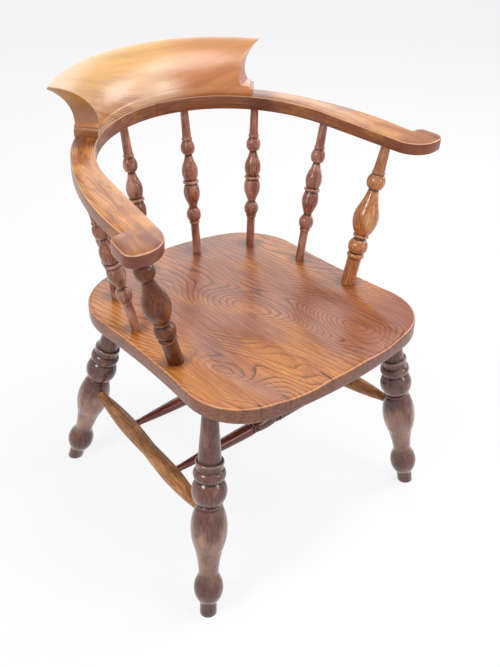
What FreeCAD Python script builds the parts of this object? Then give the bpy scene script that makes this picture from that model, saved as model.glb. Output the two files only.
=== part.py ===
# Captains chair of the low-backed smoker's bow kind, in turned and shaped wood.
# Millimetres, +Z up, +X to the right of someone who sits in it, +Y to the back.
# The origin is on the floor under the middle of the chair's plan.

import FreeCAD, Part
import math
import os

import Sketcher
from FreeCAD import Placement, Rotation, Vector

SIZES = {
    # Fits
    "glue_gap": 0.15,
    "socket_end_gap": 0.6,
    "entry_length": 5,
    # Seat board
    "seat_height": 440,
    "seat_thickness": 32,
    "seat_front": 296.7,
    "seat_corner_out": 252,
    "seat_corner_along": 263,
    "seat_waist_out": 230.5,
    "seat_heel_out": 237.5,
    "seat_heel_along": 177.5,
    "seat_back": 246,
    "seat_corner_round": 105,
    "seat_heel_round": 130,
    "seat_top_round": 4,
    "seat_bottom_round": 7,
    "dish_rise": 300,
    "dish_depth": 7,
    "dish_half_width": 190,
    "dish_half_length": 250,
    "dish_along": -75,
    "hollow_depth": 8.5,
    "hollow_half_width": 84,
    "hollow_half_length": 185,
    "hollow_out": 92,
    "hollow_along": -160,
    # Legs, along their own axis from the floor
    "front_foot_out": 265,
    "front_foot_along": -239,
    "front_leg_top_out": 213,
    "front_leg_top_along": -195,
    "rear_foot_out": 227,
    "rear_foot_along": 280.9,
    "rear_leg_top_out": 140.5,
    "rear_leg_top_along": 170.5,
    "leg_tenon_dia": 26,
    "leg_tenon_length": 22,
    "foot_spare": 9,
    "peg_dia": 30.5,
    "peg_height": 27,
    "ball_foot_dia": 34,
    "ball_dia": 52.5,
    "ball_height": 50,
    "ball_top_dia": 42,
    "ankle_dia": 34.5,
    "ankle_height": 10,
    "calf_middle_dia": 40,
    "calf_dia": 49.5,
    "calf_height": 54,
    "vase_dia": 64,
    "vase_top_dia": 48,
    "vase_height": 84,
    "throat_dia": 42,
    "throat_height": 4,
    "throat_ring_dia": 46.5,
    "throat_ring_height": 6,
    "bulb_foot_dia": 43,
    "bulb_dia": 61,
    "bulb_height": 47,
    "bulb_top_dia": 43,
    "collar_ring_dia": 56,
    "collar_ring_edge_dia": 47,
    "collar_ring_height": 20,
    "collar_dia": 46,
    "collar_height": 9,
    "collar_lip_dia": 49.5,
    "collar_lip_height": 7,
    "leg_shaft_dia": 40,
    # Side stretchers, with a swell where each cross stretcher meets them
    "side_front_height": 199,
    "side_rear_height": 191,
    "side_tenon_dia": 17,
    "side_tenon_length": 24,
    "side_tenon_from_axis": 14,
    "side_taper_middle_dia": 28.5,
    "side_swell_dia": 33.5,
    "side_between_dia": 31.3,
    "side_waist_dia": 28,
    "front_cross_along": -83,
    "rear_cross_along": 76.5,
    # Cross stretchers
    "cross_tenon_dia": 13,
    "cross_tenon_length": 20,
    "cross_tenon_from_axis": 7,
    "cross_middle_dia": 21.5,
    "cross_dia": 26,
    "cross_groove_dia": 20,
    "cross_groove_length": 3,
    "cross_ring_dia": 25,
    "cross_ring_length": 5,
    "cross_barrel_end_dia": 23,
    "cross_barrel_dia": 27.5,
    "cross_barrel_length": 48,
    # Where the uprights stand on the seat and where they meet the bow
    "support_out": 203.5,
    "support_along": -93,
    "support_reach": 128,
    "support_inset": 25,
    "outer_spindle_out": 196,
    "outer_spindle_along": 34,
    "outer_spindle_angle": 78,
    "outer_spindle_inset": 32,
    "middle_spindle_out": 163.5,
    "middle_spindle_along": 148,
    "middle_spindle_angle": 47.2,
    "middle_spindle_inset": 19.5,
    "inner_spindle_out": 60,
    "inner_spindle_along": 192,
    "inner_spindle_angle": 15.9,
    "inner_spindle_inset": 16,
    "upright_seat_depth": 20,
    "upright_bow_depth": 18,
    # Back spindles, along their own axis from the seat
    "spindle_foot_dia": 16.4,
    "spindle_foot_height": 57,
    "spindle_step_dia": 20.8,
    "spindle_step_height": 7,
    "spindle_ball_dia": 28.4,
    "spindle_ball_height": 25,
    "spindle_neck_dia": 16.4,
    "spindle_neck_height": 4,
    "spindle_cup_dia": 27,
    "spindle_cup_height": 13,
    "spindle_lower_vase_dia": 32,
    "spindle_lower_vase_height": 30,
    "spindle_waist_dia": 24,
    "spindle_ring_dia": 31.6,
    "spindle_ring_height": 7,
    "spindle_upper_vase_dia": 31.6,
    "spindle_upper_vase_height": 31,
    "spindle_shoulder_dia": 24.5,
    "spindle_throat_middle_dia": 17.4,
    "spindle_throat_dia": 13.6,
    "spindle_throat_height": 19,
    "spindle_upper_ball_foot_dia": 21.4,
    "spindle_upper_ball_dia": 27.4,
    "spindle_upper_ball_height": 24,
    "spindle_collar_dia": 20.6,
    "spindle_collar_height": 6,
    "spindle_shaft_dia": 17.6,
    "spindle_shaft_height": 52,
    "spindle_top_dia": 15,
    # Arm supports, along their own axis from the seat
    "support_foot_dia": 26.8,
    "support_foot_height": 49,
    "support_ring_edge_dia": 28,
    "support_ring_dia": 33,
    "support_ring_height": 9,
    "support_ball_foot_dia": 26,
    "support_ball_dia": 37.5,
    "support_ball_height": 27,
    "support_neck_dia": 22.5,
    "support_neck_height": 3,
    "support_collar_dia": 30.5,
    "support_collar_height": 6,
    "support_vase_foot_dia": 27,
    "support_vase_dia": 47,
    "support_vase_height": 50,
    "support_shoulder_dia": 39,
    "support_throat_middle_dia": 26.5,
    "support_throat_dia": 18.6,
    "support_throat_height": 36,
    "support_upper_ball_foot_dia": 26,
    "support_upper_ball_dia": 34.5,
    "support_upper_ball_height": 26,
    "support_top_ring_dia": 25,
    "support_top_ring_height": 5,
    "support_shaft_dia": 22,
    "support_shaft_height": 52,
    "support_top_dia": 16.8,
    # Bow, drawn flat about the centre of its back curve, then tilted down to the front
    "bow_height": 733.4,
    "bow_along": -13,
    "bow_tilt": 4.57,
    "bow_thickness": 28,
    "bow_front_thickness": 22,
    "bow_front_along": 186,
    "bow_round": 3,
    "bow_inner_radius": 232.7,
    "bow_back_width": 40.5,
    "bow_flank_angle": 60,
    "arm_splay": 8.5,
    "arm_width": 53.7,
    "notch_reach": 159,
    "notch_round": 5,
    "right_paddle_end": 212,
    "right_paddle_width": 76.5,
    "left_paddle_end": 222.8,
    "left_paddle_width": 74.93,
    "paddle_inner_round": 48,
    "paddle_outer_round": 18,
    "paddle_rear_round": 18,
    # Crest rail, its section drawn from the same centre
    "crest_sweep_angle": 104,
    "crest_spare": 60,
    "crest_height": 84,
    "crest_plinth_height": 13.5,
    "crest_lean": 76.5,
    "crest_roll": 14.5,
    "crest_back_roll": 7.5,
    "crest_edge_run": 4,
    "crest_edge_drop": 5.5,
    "crest_plinth_angle": 46,
    "crest_step_height": 4.5,
    "crest_step_width": 5,
    "crest_scoop_angle": 58,
    "crest_scoop_foot": 68.5,
    "crest_scoop_middle": 77.5,
    "crest_horn": 60.5,
    # Fasteners of the bow and the crest rail
    "screw_head_dia": 9.5,
    "screw_head_depth": 4.5,
    "screw_shank_dia": 5,
    "screw_thread_dia": 4,
    "screw_shank_length": 24,
    "screw_thread_length": 16,
    "screw_tip_length": 5,
    "screw_slot_width": 1.2,
    "screw_slot_depth": 1.4,
    "screw_sink": 1,
    "inner_screw_angle": 8,
    "outer_screw_angle": 31,
    "dowel_dia": 9.5,
    "dowel_length": 50,
    "dowel_spacing": 20,
    "floor_block": 700,
}

doc = FreeCAD.newDocument("captains_chair")
sheet = doc.addObject("Spreadsheet::Sheet", "Sizes")
for row, (word, number) in enumerate(SIZES.items(), start=1):
    sheet.set(f"A{row}", word)
    sheet.set(f"B{row}", str(number))
    sheet.setAlias(f"B{row}", word)
doc.recompute()


class Size:
    """A number of millimetres or degrees, with the spreadsheet formula it comes from."""

    def __init__(self, number, formula=None):
        self.number = float(number)
        self.formula = formula or repr(float(number))

    def __add__(self, other):
        other = as_size(other)
        return Size(self.number + other.number, f"({self.formula} + {other.formula})")

    def __sub__(self, other):
        other = as_size(other)
        return Size(self.number - other.number, f"({self.formula} - {other.formula})")

    def __mul__(self, factor):
        other = as_size(factor)
        return Size(self.number * other.number, f"({self.formula} * {other.formula})")

    def __truediv__(self, factor):
        other = as_size(factor)
        return Size(self.number / other.number, f"({self.formula} / {other.formula})")

    def __neg__(self):
        return Size(-self.number, f"(-{self.formula})")


def as_size(value):
    return value if isinstance(value, Size) else Size(value)


def size(word):
    return Size(sheet.get(word), f"Sizes.{word}")


def mm(word):
    return float(sheet.get(word))


def sine(angle):
    return Size(math.sin(math.radians(angle.number)), f"sin({angle.formula} * 1deg)")


def cosine(angle):
    return Size(math.cos(math.radians(angle.number)), f"cos({angle.formula} * 1deg)")


# Sketches

def new_sketch(body, plane, name, turn=0.0, lift=None):
    """A sketch on one of the body's own planes, turned about its upright axis or lifted off."""
    origin_plane = next(part for part in body.Origin.OriginFeatures if part.Role == plane)
    sketch = body.newObject("Sketcher::SketchObject", name)
    sketch.AttachmentSupport = [(origin_plane, "")]
    sketch.MapMode = "FlatFace"
    height = lift.number if lift else 0
    sketch.AttachmentOffset = Placement(Vector(0, 0, height), Rotation(Vector(0, 1, 0), turn))
    if lift:
        sketch.setExpression("AttachmentOffset.Base.z", lift.formula)
    return sketch


def hold(sketch, geometry, vertex, point):
    """Tie one vertex of a sketch to the two sizes of its place."""
    for kind, axis, value in (("DistanceX", -2, point[0]), ("DistanceY", -1, point[1])):
        if abs(value.number) < 1e-9:
            sketch.addConstraint(Sketcher.Constraint("PointOnObject", geometry, vertex, axis))
            continue
        if value.number < 0:
            ends = (geometry, vertex, -1, 1)
            value = -value
        else:
            ends = (-1, 1, geometry, vertex)
        index = sketch.addConstraint(Sketcher.Constraint(kind, *ends, value.number))
        sketch.setExpression(f"Constraints[{index}]", value.formula)


def flat(point):
    return Vector(point[0].number, point[1].number, 0)


def turned_end(here, middle, end):
    """The direction an arc through three places ends in."""
    arc = Part.Arc(here, middle, end)
    return arc.tangent(arc.parameter(end))[0]


def tangent_middle(here, heading, end):
    """The middle of the arc that leaves one place in a direction and ends at another."""
    chord = end - here
    bend = heading.getAngle(chord)
    side = heading - chord * (heading.dot(chord) / chord.dot(chord))
    side.normalize()
    return here + chord / 2 + side * (chord.Length / 2 * math.tan(bend / 2))


def draw(sketch, start, steps):
    """Draw a closed outline. A step is an end point, a middle and an end point of an arc, or
    None and the end point of an arc that runs on smoothly from the step before."""
    start = (as_size(start[0]), as_size(start[1]))
    here = start
    heading = None
    drawn = []
    for step in steps:
        end = (as_size(step[-1][0]), as_size(step[-1][1]))
        if len(step) == 1:
            heading = flat(end) - flat(here)
            index = sketch.addGeometry(Part.LineSegment(flat(here), flat(end)), False)
        else:
            smooth = step[0] is None
            if smooth:
                middle = tangent_middle(flat(here), heading, flat(end))
            else:
                middle = flat((as_size(step[0][0]), as_size(step[0][1])))
            index = sketch.addGeometry(Part.Arc(flat(here), middle, flat(end)), False)
            heading = turned_end(flat(here), middle, flat(end))
        begins = 1 if sketch.getPoint(index, 1).distanceToPoint(flat(here)) < 1e-6 else 2
        hold(sketch, index, begins, here)
        if len(step) == 2 and smooth:
            before, began = drawn[-1]
            joint = (before, 3 - began, index, begins)
            sketch.addConstraint(Sketcher.Constraint("Tangent", *joint))
        elif len(step) == 2:
            marker = sketch.addGeometry(Part.Point(middle), True)
            hold(sketch, marker, 1, (as_size(step[0][0]), as_size(step[0][1])))
            sketch.addConstraint(Sketcher.Constraint("PointOnObject", marker, 1, index))
        drawn.append((index, begins))
        here = end
    for number, (index, begins) in enumerate(drawn):
        following, vertex = drawn[(number + 1) % len(drawn)]
        smooth = number + 1 < len(steps) and steps[number + 1][0] is None
        if not smooth:
            joint = (index, 3 - begins, following, vertex)
            sketch.addConstraint(Sketcher.Constraint("Coincident", *joint))


# Turned pieces

def turned(name, low, foot_dia, steps):
    """A body turned about its own Z axis. A step is (diameter, length) for a straight run, or
    (diameter at mid-length, end diameter, length) for a round one."""
    body = doc.addObject("PartDesign::Body", name)
    sketch = new_sketch(body, "XZ_Plane", f"{name}_profile")
    height = as_size(low)
    outline = [[(as_size(foot_dia) / 2, height)]]
    for step in steps:
        length = as_size(step[-1])
        points = []
        if len(step) == 3:
            points.append((as_size(step[0]) / 2, height + length / 2))
        height = height + length
        points.append((as_size(step[-2]) / 2, height))
        outline.append(points)
    outline.append([(Size(0), height)])
    outline.append([(Size(0), as_size(low))])
    draw(sketch, (Size(0), as_size(low)), outline)
    turning = body.newObject("PartDesign::Revolution", f"{name}_turning")
    turning.Profile = sketch
    turning.ReferenceAxis = (sketch, ["V_Axis"])
    turning.Angle = 360
    sketch.Visibility = False
    return body


def along(low, high):
    """The place of a piece whose own Z axis runs from one point to another."""
    return Placement(low, Rotation(Vector(0, 0, 1), high - low))


def rod(name, place, start, end, radius):
    """A plain cylinder on the axis of a placed piece, from start to end along it."""
    cylinder = doc.addObject("Part::Cylinder", name)
    cylinder.setExpression("Radius", radius.formula)
    cylinder.setExpression("Height", (end - start).formula)
    cylinder.Placement = place * Placement(Vector(0, 0, start.number), Rotation())
    return cylinder


def cut(name, base, tools):
    """The base with every tool cut out of it."""
    cutter = tools[0]
    if len(tools) > 1:
        cutter = doc.addObject("Part::MultiFuse", f"{name}_cutters")
        cutter.Shapes = tools
    result = doc.addObject("Part::Cut", name)
    result.Base = base
    result.Tool = cutter
    return result


def mirrored(name, source):
    """The left-hand twin of a right-hand piece."""
    twin = doc.addObject("Part::Mirroring", name)
    twin.Source = source
    twin.Normal = Vector(1, 0, 0)
    return twin


# The bow's own flat frame, from the centre of its back curve on its upper face

BOW_PLACE = Placement(
    Vector(0, mm("bow_along"), mm("bow_height")), Rotation(Vector(1, 0, 0), mm("bow_tilt"))
)


def polar(radius, angle):
    """A place at an angle from straight back, about the centre of the bow's back curve."""
    return radius * sine(angle), radius * cosine(angle)


def arm_point(reach, across):
    """A place so far along the arm's inner edge from where it leaves the curve, and across."""
    start = polar(size("bow_inner_radius"), Size(90) - size("arm_splay"))
    forward = sine(size("arm_splay"))
    outward = cosine(size("arm_splay"))
    return (
        start[0] + as_size(reach) * forward + as_size(across) * outward,
        start[1] - as_size(reach) * outward + as_size(across) * forward,
    )


def lower_face(along):
    """The height of the bow's lower face in its own frame. The bow thins towards the front."""
    back = mm("bow_inner_radius") + mm("bow_back_width")
    share = (back - along) / (back + mm("bow_front_along"))
    return -mm("bow_thickness") - share * (mm("bow_front_thickness") - mm("bow_thickness"))


def under_bow(plan_place):
    """A place of the bow's plan, on its lower face, in the chair's frame."""
    place = flat(plan_place)
    return BOW_PLACE.multVec(place + Vector(0, 0, lower_face(place.y)))


# Legs

FLOOR = doc.addObject("Part::Box", "below_the_floor")
for side in ("Length", "Width", "Height"):
    FLOOR.setExpression(side, "Sizes.floor_block")
half_block = mm("floor_block") / 2
FLOOR.Placement.Base = Vector(-half_block, -half_block, -mm("floor_block"))


def leg_ends(which):
    """The middle of a right-hand leg's foot on the floor and of its top under the seat."""
    low = Vector(mm(f"{which}_foot_out"), mm(f"{which}_foot_along"), 0)
    under_seat = mm("seat_height") - mm("seat_thickness")
    high = Vector(mm(f"{which}_leg_top_out"), mm(f"{which}_leg_top_along"), under_seat)
    return low, high


def leg(which):
    low, high = leg_ends(which)
    turned_height = sum(
        mm(word)
        for word in (
            "peg_height", "ball_height", "ankle_height", "calf_height", "vase_height",
            "throat_height", "throat_ring_height", "bulb_height", "collar_ring_height",
            "collar_height", "collar_lip_height", "entry_length",
        )
    )
    shaft = (high - low).Length - turned_height
    blank = turned(
        f"{which}_leg_turning",
        -size("foot_spare"),
        size("peg_dia"),
        [
            (size("peg_dia"), size("peg_height") + size("foot_spare")),
            (size("ball_foot_dia"), 0),
            (size("ball_dia"), size("ball_top_dia"), size("ball_height")),
            (size("ankle_dia"), size("ankle_height")),
            (size("calf_middle_dia"), size("calf_dia"), size("calf_height")),
            (size("vase_dia"), size("vase_top_dia"), size("vase_height")),
            (size("throat_dia"), size("throat_height")),
            (size("throat_ring_dia"), size("throat_dia"), size("throat_ring_height")),
            (size("bulb_foot_dia"), 0),
            (size("bulb_dia"), size("bulb_top_dia"), size("bulb_height")),
            (size("collar_ring_edge_dia"), 0),
            (size("collar_ring_dia"), size("collar_ring_edge_dia"), size("collar_ring_height")),
            (size("collar_dia"), 0),
            (size("collar_dia"), size("collar_height")),
            (size("collar_lip_dia"), size("collar_dia"), size("collar_lip_height")),
            (size("leg_shaft_dia"), 0),
            (size("leg_tenon_dia"), shaft),
            (size("leg_tenon_dia"), size("leg_tenon_length") + size("entry_length")),
        ],
    )
    blank.Placement = along(low, high)
    return blank


def leg_socket(which):
    low, high = leg_ends(which)
    place = along(low, high)
    top = Size((high - low).Length)
    depth = size("leg_tenon_length") + size("socket_end_gap")
    radius = size("leg_tenon_dia") / 2 + size("glue_gap")
    return rod(f"{which}_leg_socket", place, top - size("leg_tenon_dia"), top + depth, radius)


# Stretchers

def on_leg(which, height):
    low, high = leg_ends(which)
    return low + (high - low) * (height / high.z)


SIDE_FRONT = on_leg("front", mm("side_front_height"))
SIDE_REAR = on_leg("rear", mm("side_rear_height"))
SIDE_PLACE = along(SIDE_FRONT, SIDE_REAR)
SIDE_SPAN = (SIDE_REAR - SIDE_FRONT).Length


def on_side_stretcher(along_chair):
    share = (along_chair - SIDE_FRONT.y) / (SIDE_REAR.y - SIDE_FRONT.y)
    return SIDE_FRONT + (SIDE_REAR - SIDE_FRONT) * share


def side_stretcher():
    start = mm("side_tenon_from_axis")
    front_swell = (on_side_stretcher(mm("front_cross_along")) - SIDE_FRONT).Length
    rear_swell = (on_side_stretcher(mm("rear_cross_along")) - SIDE_FRONT).Length
    half_gap = (rear_swell - front_swell) / 2
    front_taper = front_swell - start - mm("side_tenon_length")
    rear_taper = SIDE_SPAN - rear_swell - start - mm("side_tenon_length")
    body = turned(
        "right_side_stretcher_turning",
        size("side_tenon_from_axis"),
        size("side_tenon_dia"),
        [
            (size("side_tenon_dia"), size("side_tenon_length")),
            (size("side_taper_middle_dia"), size("side_swell_dia"), front_taper),
            (size("side_between_dia"), size("side_waist_dia"), half_gap),
            (size("side_between_dia"), size("side_swell_dia"), half_gap),
            (size("side_taper_middle_dia"), size("side_tenon_dia"), rear_taper),
            (size("side_tenon_dia"), size("side_tenon_length")),
        ],
    )
    body.Placement = SIDE_PLACE
    return body


def side_socket(which):
    """The socket for a side stretcher in the front or the rear leg."""
    inner = size("side_tenon_from_axis") - size("socket_end_gap")
    outer = size("side_tenon_from_axis") + size("side_tenon_length")
    radius = size("side_tenon_dia") / 2 + size("glue_gap")
    if which == "rear":
        inner, outer = Size(SIDE_SPAN) - outer, Size(SIDE_SPAN) - inner
    return rod(f"{which}_leg_side_socket", SIDE_PLACE, inner, outer, radius)


def cross_ends(which):
    high = on_side_stretcher(mm(f"{which}_cross_along"))
    return Vector(-high.x, high.y, high.z), high


def cross_stretcher(which):
    low, high = cross_ends(which)
    turned_half = mm("cross_barrel_length") / 2 + sum(
        mm(word)
        for word in (
            "cross_tenon_from_axis", "cross_tenon_length", "cross_groove_length",
            "cross_ring_length", "cross_groove_length",
        )
    )
    taper = high.x - turned_half
    groove = [(size("cross_groove_dia"), 0), (size("cross_groove_dia"), size("cross_groove_length"))]
    ring = [(size("cross_ring_dia"), size("cross_groove_dia"), size("cross_ring_length"))]
    body = turned(
        f"{which}_cross_stretcher",
        size("cross_tenon_from_axis"),
        size("cross_tenon_dia"),
        [
            (size("cross_tenon_dia"), size("cross_tenon_length")),
            (size("cross_middle_dia"), size("cross_dia"), taper),
            *groove,
            *ring,
            groove[1],
            (size("cross_barrel_end_dia"), 0),
            (size("cross_barrel_dia"), size("cross_barrel_end_dia"), size("cross_barrel_length")),
            *groove,
            *ring,
            groove[1],
            (size("cross_dia"), 0),
            (size("cross_middle_dia"), size("cross_tenon_dia"), taper),
            (size("cross_tenon_dia"), size("cross_tenon_length")),
        ],
    )
    body.Placement = along(low, high)
    return body


def cross_socket(which):
    """The socket for a cross stretcher in the right-hand side stretcher."""
    low, high = cross_ends(which)
    outer = Size(2 * high.x) - size("cross_tenon_from_axis")
    radius = size("cross_tenon_dia") / 2 + size("glue_gap")
    inner = outer - size("cross_tenon_length")
    return rod(
        f"{which}_cross_socket", along(low, high), inner, outer + size("socket_end_gap"), radius
    )


# Uprights between the seat and the bow

def upright_ends(which):
    low = Vector(mm(f"{which}_out"), mm(f"{which}_along"), mm("seat_height"))
    inset = size(f"{which}_inset")
    if which == "support":
        return low, under_bow(arm_point(size("support_reach"), inset))
    radius = size("bow_inner_radius") + inset
    return low, under_bow(polar(radius, size(f"{which}_angle")))


def upright(name, which, foot_dia, steps, shaft, top_dia):
    """A turned upright, its pattern of steps and shaft stretched to fill seat to bow."""
    low, high = upright_ends(which)
    pattern = shaft
    for step in steps:
        pattern = pattern + step[-1]
    stretch = Size((high - low).Length) / pattern
    stretched = [(*step[:-1], stretch * step[-1]) for step in steps]
    body = turned(
        name,
        -size("upright_seat_depth"),
        foot_dia,
        [
            (foot_dia, size("upright_seat_depth")),
            *stretched,
            (top_dia, stretch * shaft - size("entry_length")),
            (top_dia, size("upright_bow_depth") + size("entry_length")),
        ],
    )
    body.Placement = along(low, high)
    return body


def spindle(name, which):
    neck = size("spindle_neck_dia")
    waist = size("spindle_waist_dia")
    return upright(
        name,
        f"{which}_spindle",
        size("spindle_foot_dia"),
        [
            (size("spindle_foot_dia"), size("spindle_foot_height")),
            (size("spindle_step_dia"), size("spindle_foot_dia"), size("spindle_step_height")),
            (size("spindle_step_dia"), 0),
            (size("spindle_ball_dia"), neck, size("spindle_ball_height")),
            (neck, size("spindle_neck_height")),
            (size("spindle_cup_dia"), size("spindle_cup_height")),
            (size("spindle_lower_vase_dia"), waist, size("spindle_lower_vase_height")),
            (size("spindle_ring_dia"), waist, size("spindle_ring_height")),
            (size("spindle_upper_vase_dia"), size("spindle_shoulder_dia"),
             size("spindle_upper_vase_height")),
            (size("spindle_throat_middle_dia"), size("spindle_throat_dia"),
             size("spindle_throat_height")),
            (size("spindle_upper_ball_foot_dia"), 0),
            (size("spindle_upper_ball_dia"), size("spindle_shaft_dia"),
             size("spindle_upper_ball_height")),
            (size("spindle_collar_dia"), size("spindle_shaft_dia"),
             size("spindle_collar_height")),
        ],
        size("spindle_shaft_height"),
        size("spindle_top_dia"),
    )


def arm_support():
    neck = size("support_neck_dia")
    edge = size("support_ring_edge_dia")
    return upright(
        "right_arm_support",
        "support",
        size("support_foot_dia"),
        [
            (size("support_foot_dia"), size("support_foot_height")),
            (edge, 0),
            (size("support_ring_dia"), edge, size("support_ring_height")),
            (size("support_ball_foot_dia"), 0),
            (size("support_ball_dia"), neck, size("support_ball_height")),
            (neck, size("support_neck_height")),
            (size("support_collar_dia"), neck, size("support_collar_height")),
            (size("support_vase_foot_dia"), 0),
            (size("support_vase_dia"), size("support_shoulder_dia"),
             size("support_vase_height")),
            (size("support_throat_middle_dia"), size("support_throat_dia"),
             size("support_throat_height")),
            (size("support_upper_ball_foot_dia"), 0),
            (size("support_upper_ball_dia"), size("support_shaft_dia"),
             size("support_upper_ball_height")),
            (size("support_top_ring_dia"), size("support_shaft_dia"),
             size("support_top_ring_height")),
        ],
        size("support_shaft_height"),
        size("support_top_dia"),
    )


def upright_sockets(which, foot_word, top_word):
    """The socket in the seat and the one in the bow for a right-hand upright."""
    low, high = upright_ends(which)
    place = along(low, high)
    span = Size((high - low).Length)
    gap = size("glue_gap")
    foot_radius = size(foot_word) / 2 + gap
    top_radius = size(top_word) / 2 + gap
    deep = -(size("upright_seat_depth") + size("socket_end_gap"))
    seat = rod(f"{which}_seat_socket", place, deep, size(foot_word), foot_radius)
    top = span + size("upright_bow_depth") + size("socket_end_gap")
    bow = rod(f"{which}_bow_socket", place, span - size(top_word), top, top_radius)
    return seat, bow


# Seat board

def edges_on(feature, height_at):
    """The names of a feature's edges on a face whose height depends on the place along."""
    return [
        f"Edge{number}"
        for number, edge in enumerate(feature.Shape.Edges, start=1)
        if all(abs(corner.Z - height_at(corner.Y)) < 1e-4 for corner in edge.Vertexes)
    ]


def upright_edges(feature, places):
    """The names of a feature's upright edges nearest to places in plan."""
    names = []
    for place in places:
        gaps = []
        for number, edge in enumerate(feature.Shape.Edges, start=1):
            box = edge.BoundBox
            if box.XLength + box.YLength < 1e-4:
                gaps.append((math.hypot(box.XMin - place.x, box.YMin - place.y), number))
        names.append(f"Edge{min(gaps)[1]}")
    return names


def rounded(body, base, edges, word):
    fillet = body.newObject("PartDesign::Fillet", f"{body.Name}_{word}")
    fillet.Base = (base, edges)
    fillet.setExpression("Radius", f"Sizes.{word}")
    doc.recompute()
    return fillet


def seat_board():
    """The board: four bowed edges, rounded corners and softened rims."""
    body = doc.addObject("PartDesign::Body", "seat_board")
    lift = size("seat_height") - size("seat_thickness")
    sketch = new_sketch(body, "XY_Plane", "seat_plan", lift=lift)
    corner_out, corner_along = size("seat_corner_out"), -size("seat_corner_along")
    heel_out, heel_along = size("seat_heel_out"), size("seat_heel_along")
    waist = size("seat_waist_out")
    outline = [
        [(Size(0), -size("seat_front")), (corner_out, corner_along)],
        [(waist, Size(0)), (heel_out, heel_along)],
        [(Size(0), size("seat_back")), (-heel_out, heel_along)],
        [(-waist, Size(0)), (-corner_out, corner_along)],
    ]
    draw(sketch, (-corner_out, corner_along), outline)
    board = body.newObject("PartDesign::Pad", "seat_blank")
    board.Profile = sketch
    board.setExpression("Length", "Sizes.seat_thickness")
    doc.recompute()
    corners = [flat((corner_out, corner_along)), flat((-corner_out, corner_along))]
    front = rounded(body, board, upright_edges(board, corners), "seat_corner_round")
    heels = [flat((heel_out, heel_along)), flat((-heel_out, heel_along))]
    plan = rounded(body, front, upright_edges(front, heels), "seat_heel_round")
    top_edges = edges_on(plan, lambda along: mm("seat_height"))
    top = rounded(body, plan, top_edges, "seat_top_round")
    bottom_edges = edges_on(top, lambda along: lift.number)
    rounded(body, top, bottom_edges, "seat_bottom_round")
    return body


def scoop(name, kind, out):
    """An egg-shaped scoop that leaves an oval hollow of a given depth in the seat's face."""
    bowl = doc.addObject("Part::Ellipsoid", name)
    sunk = f"((Sizes.dish_rise - Sizes.{kind}_depth) / Sizes.dish_rise)"
    spread = f"sqrt(1 - {sunk} * {sunk})"
    bowl.setExpression("Radius1", "Sizes.dish_rise")
    bowl.setExpression("Radius2", f"Sizes.{kind}_half_width / {spread}")
    bowl.setExpression("Radius3", f"Sizes.{kind}_half_length / {spread}")
    lift = mm("seat_height") + mm("dish_rise") - mm(f"{kind}_depth")
    bowl.Placement.Base = Vector(out, mm(f"{kind}_along"), lift)
    return bowl


# Bow

def edges_at_joint(feature):
    """The names of a bow half's edges on the joint at the middle of the back."""
    return [
        f"Edge{number}"
        for number, edge in enumerate(feature.Shape.Edges, start=1)
        if all(abs(corner.X) < 1e-4 for corner in edge.Vertexes)
    ]


def bow_half(hand):
    """Half of the bow, laid out on the right: back curve, arm and rounded paddle with a notch."""
    body = doc.addObject("PartDesign::Body", f"{hand}_bow_blank")
    sketch = new_sketch(body, "XY_Plane", f"{hand}_bow_plan")
    inner = size("bow_inner_radius")
    outer = inner + size("bow_back_width")
    flank = size("bow_flank_angle")
    notch = size("notch_reach")
    end = size(f"{hand}_paddle_end")
    wide = size(f"{hand}_paddle_width")
    outline = [
        [polar(outer, flank / 2), polar(outer, flank)],
        [None, arm_point(notch, size("arm_width"))],
        [arm_point(notch, wide)],
        [arm_point(end, wide)],
        [arm_point(end, 0)],
        [arm_point(0, 0)],
        [polar(inner, Size(45)), (Size(0), inner)],
        [(Size(0), outer)],
    ]
    draw(sketch, (Size(0), outer), outline)
    blank = body.newObject("PartDesign::Pad", f"{hand}_bow_board")
    blank.Profile = sketch
    blank.Reversed = True
    blank.setExpression("Length", "Sizes.bow_thickness")

    thick = size("bow_thickness")
    wedge = new_sketch(body, "YZ_Plane", f"{hand}_bow_wedge")
    front = -size("bow_front_along")
    run = front - outer
    rise = thick - size("bow_front_thickness")
    outline = [[(outer + run * 2, rise * 2 - thick)], [(outer + run * 2, -thick)], [(outer, -thick)]]
    draw(wedge, (outer, -thick), outline)
    planed = body.newObject("PartDesign::Pocket", f"{hand}_bow_planing")
    planed.Profile = wedge
    planed.Type = "ThroughAll"
    planed.Midplane = True
    doc.recompute()
    last = planed
    for across, reach, word in (
        (0, end, "paddle_inner_round"),
        (wide, end, "paddle_outer_round"),
        (wide, notch, "paddle_rear_round"),
        (size("arm_width"), notch, "notch_round"),
    ):
        corner = flat(arm_point(reach, across))
        last = rounded(body, last, upright_edges(last, [corner]), word)

    rims = edges_on(last, lambda along: 0) + edges_on(last, lower_face)
    joint = edges_at_joint(last)
    rounded(body, last, [name for name in rims if name not in joint], "bow_round")
    body.Placement = BOW_PLACE
    return body


# Crest rail

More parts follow.
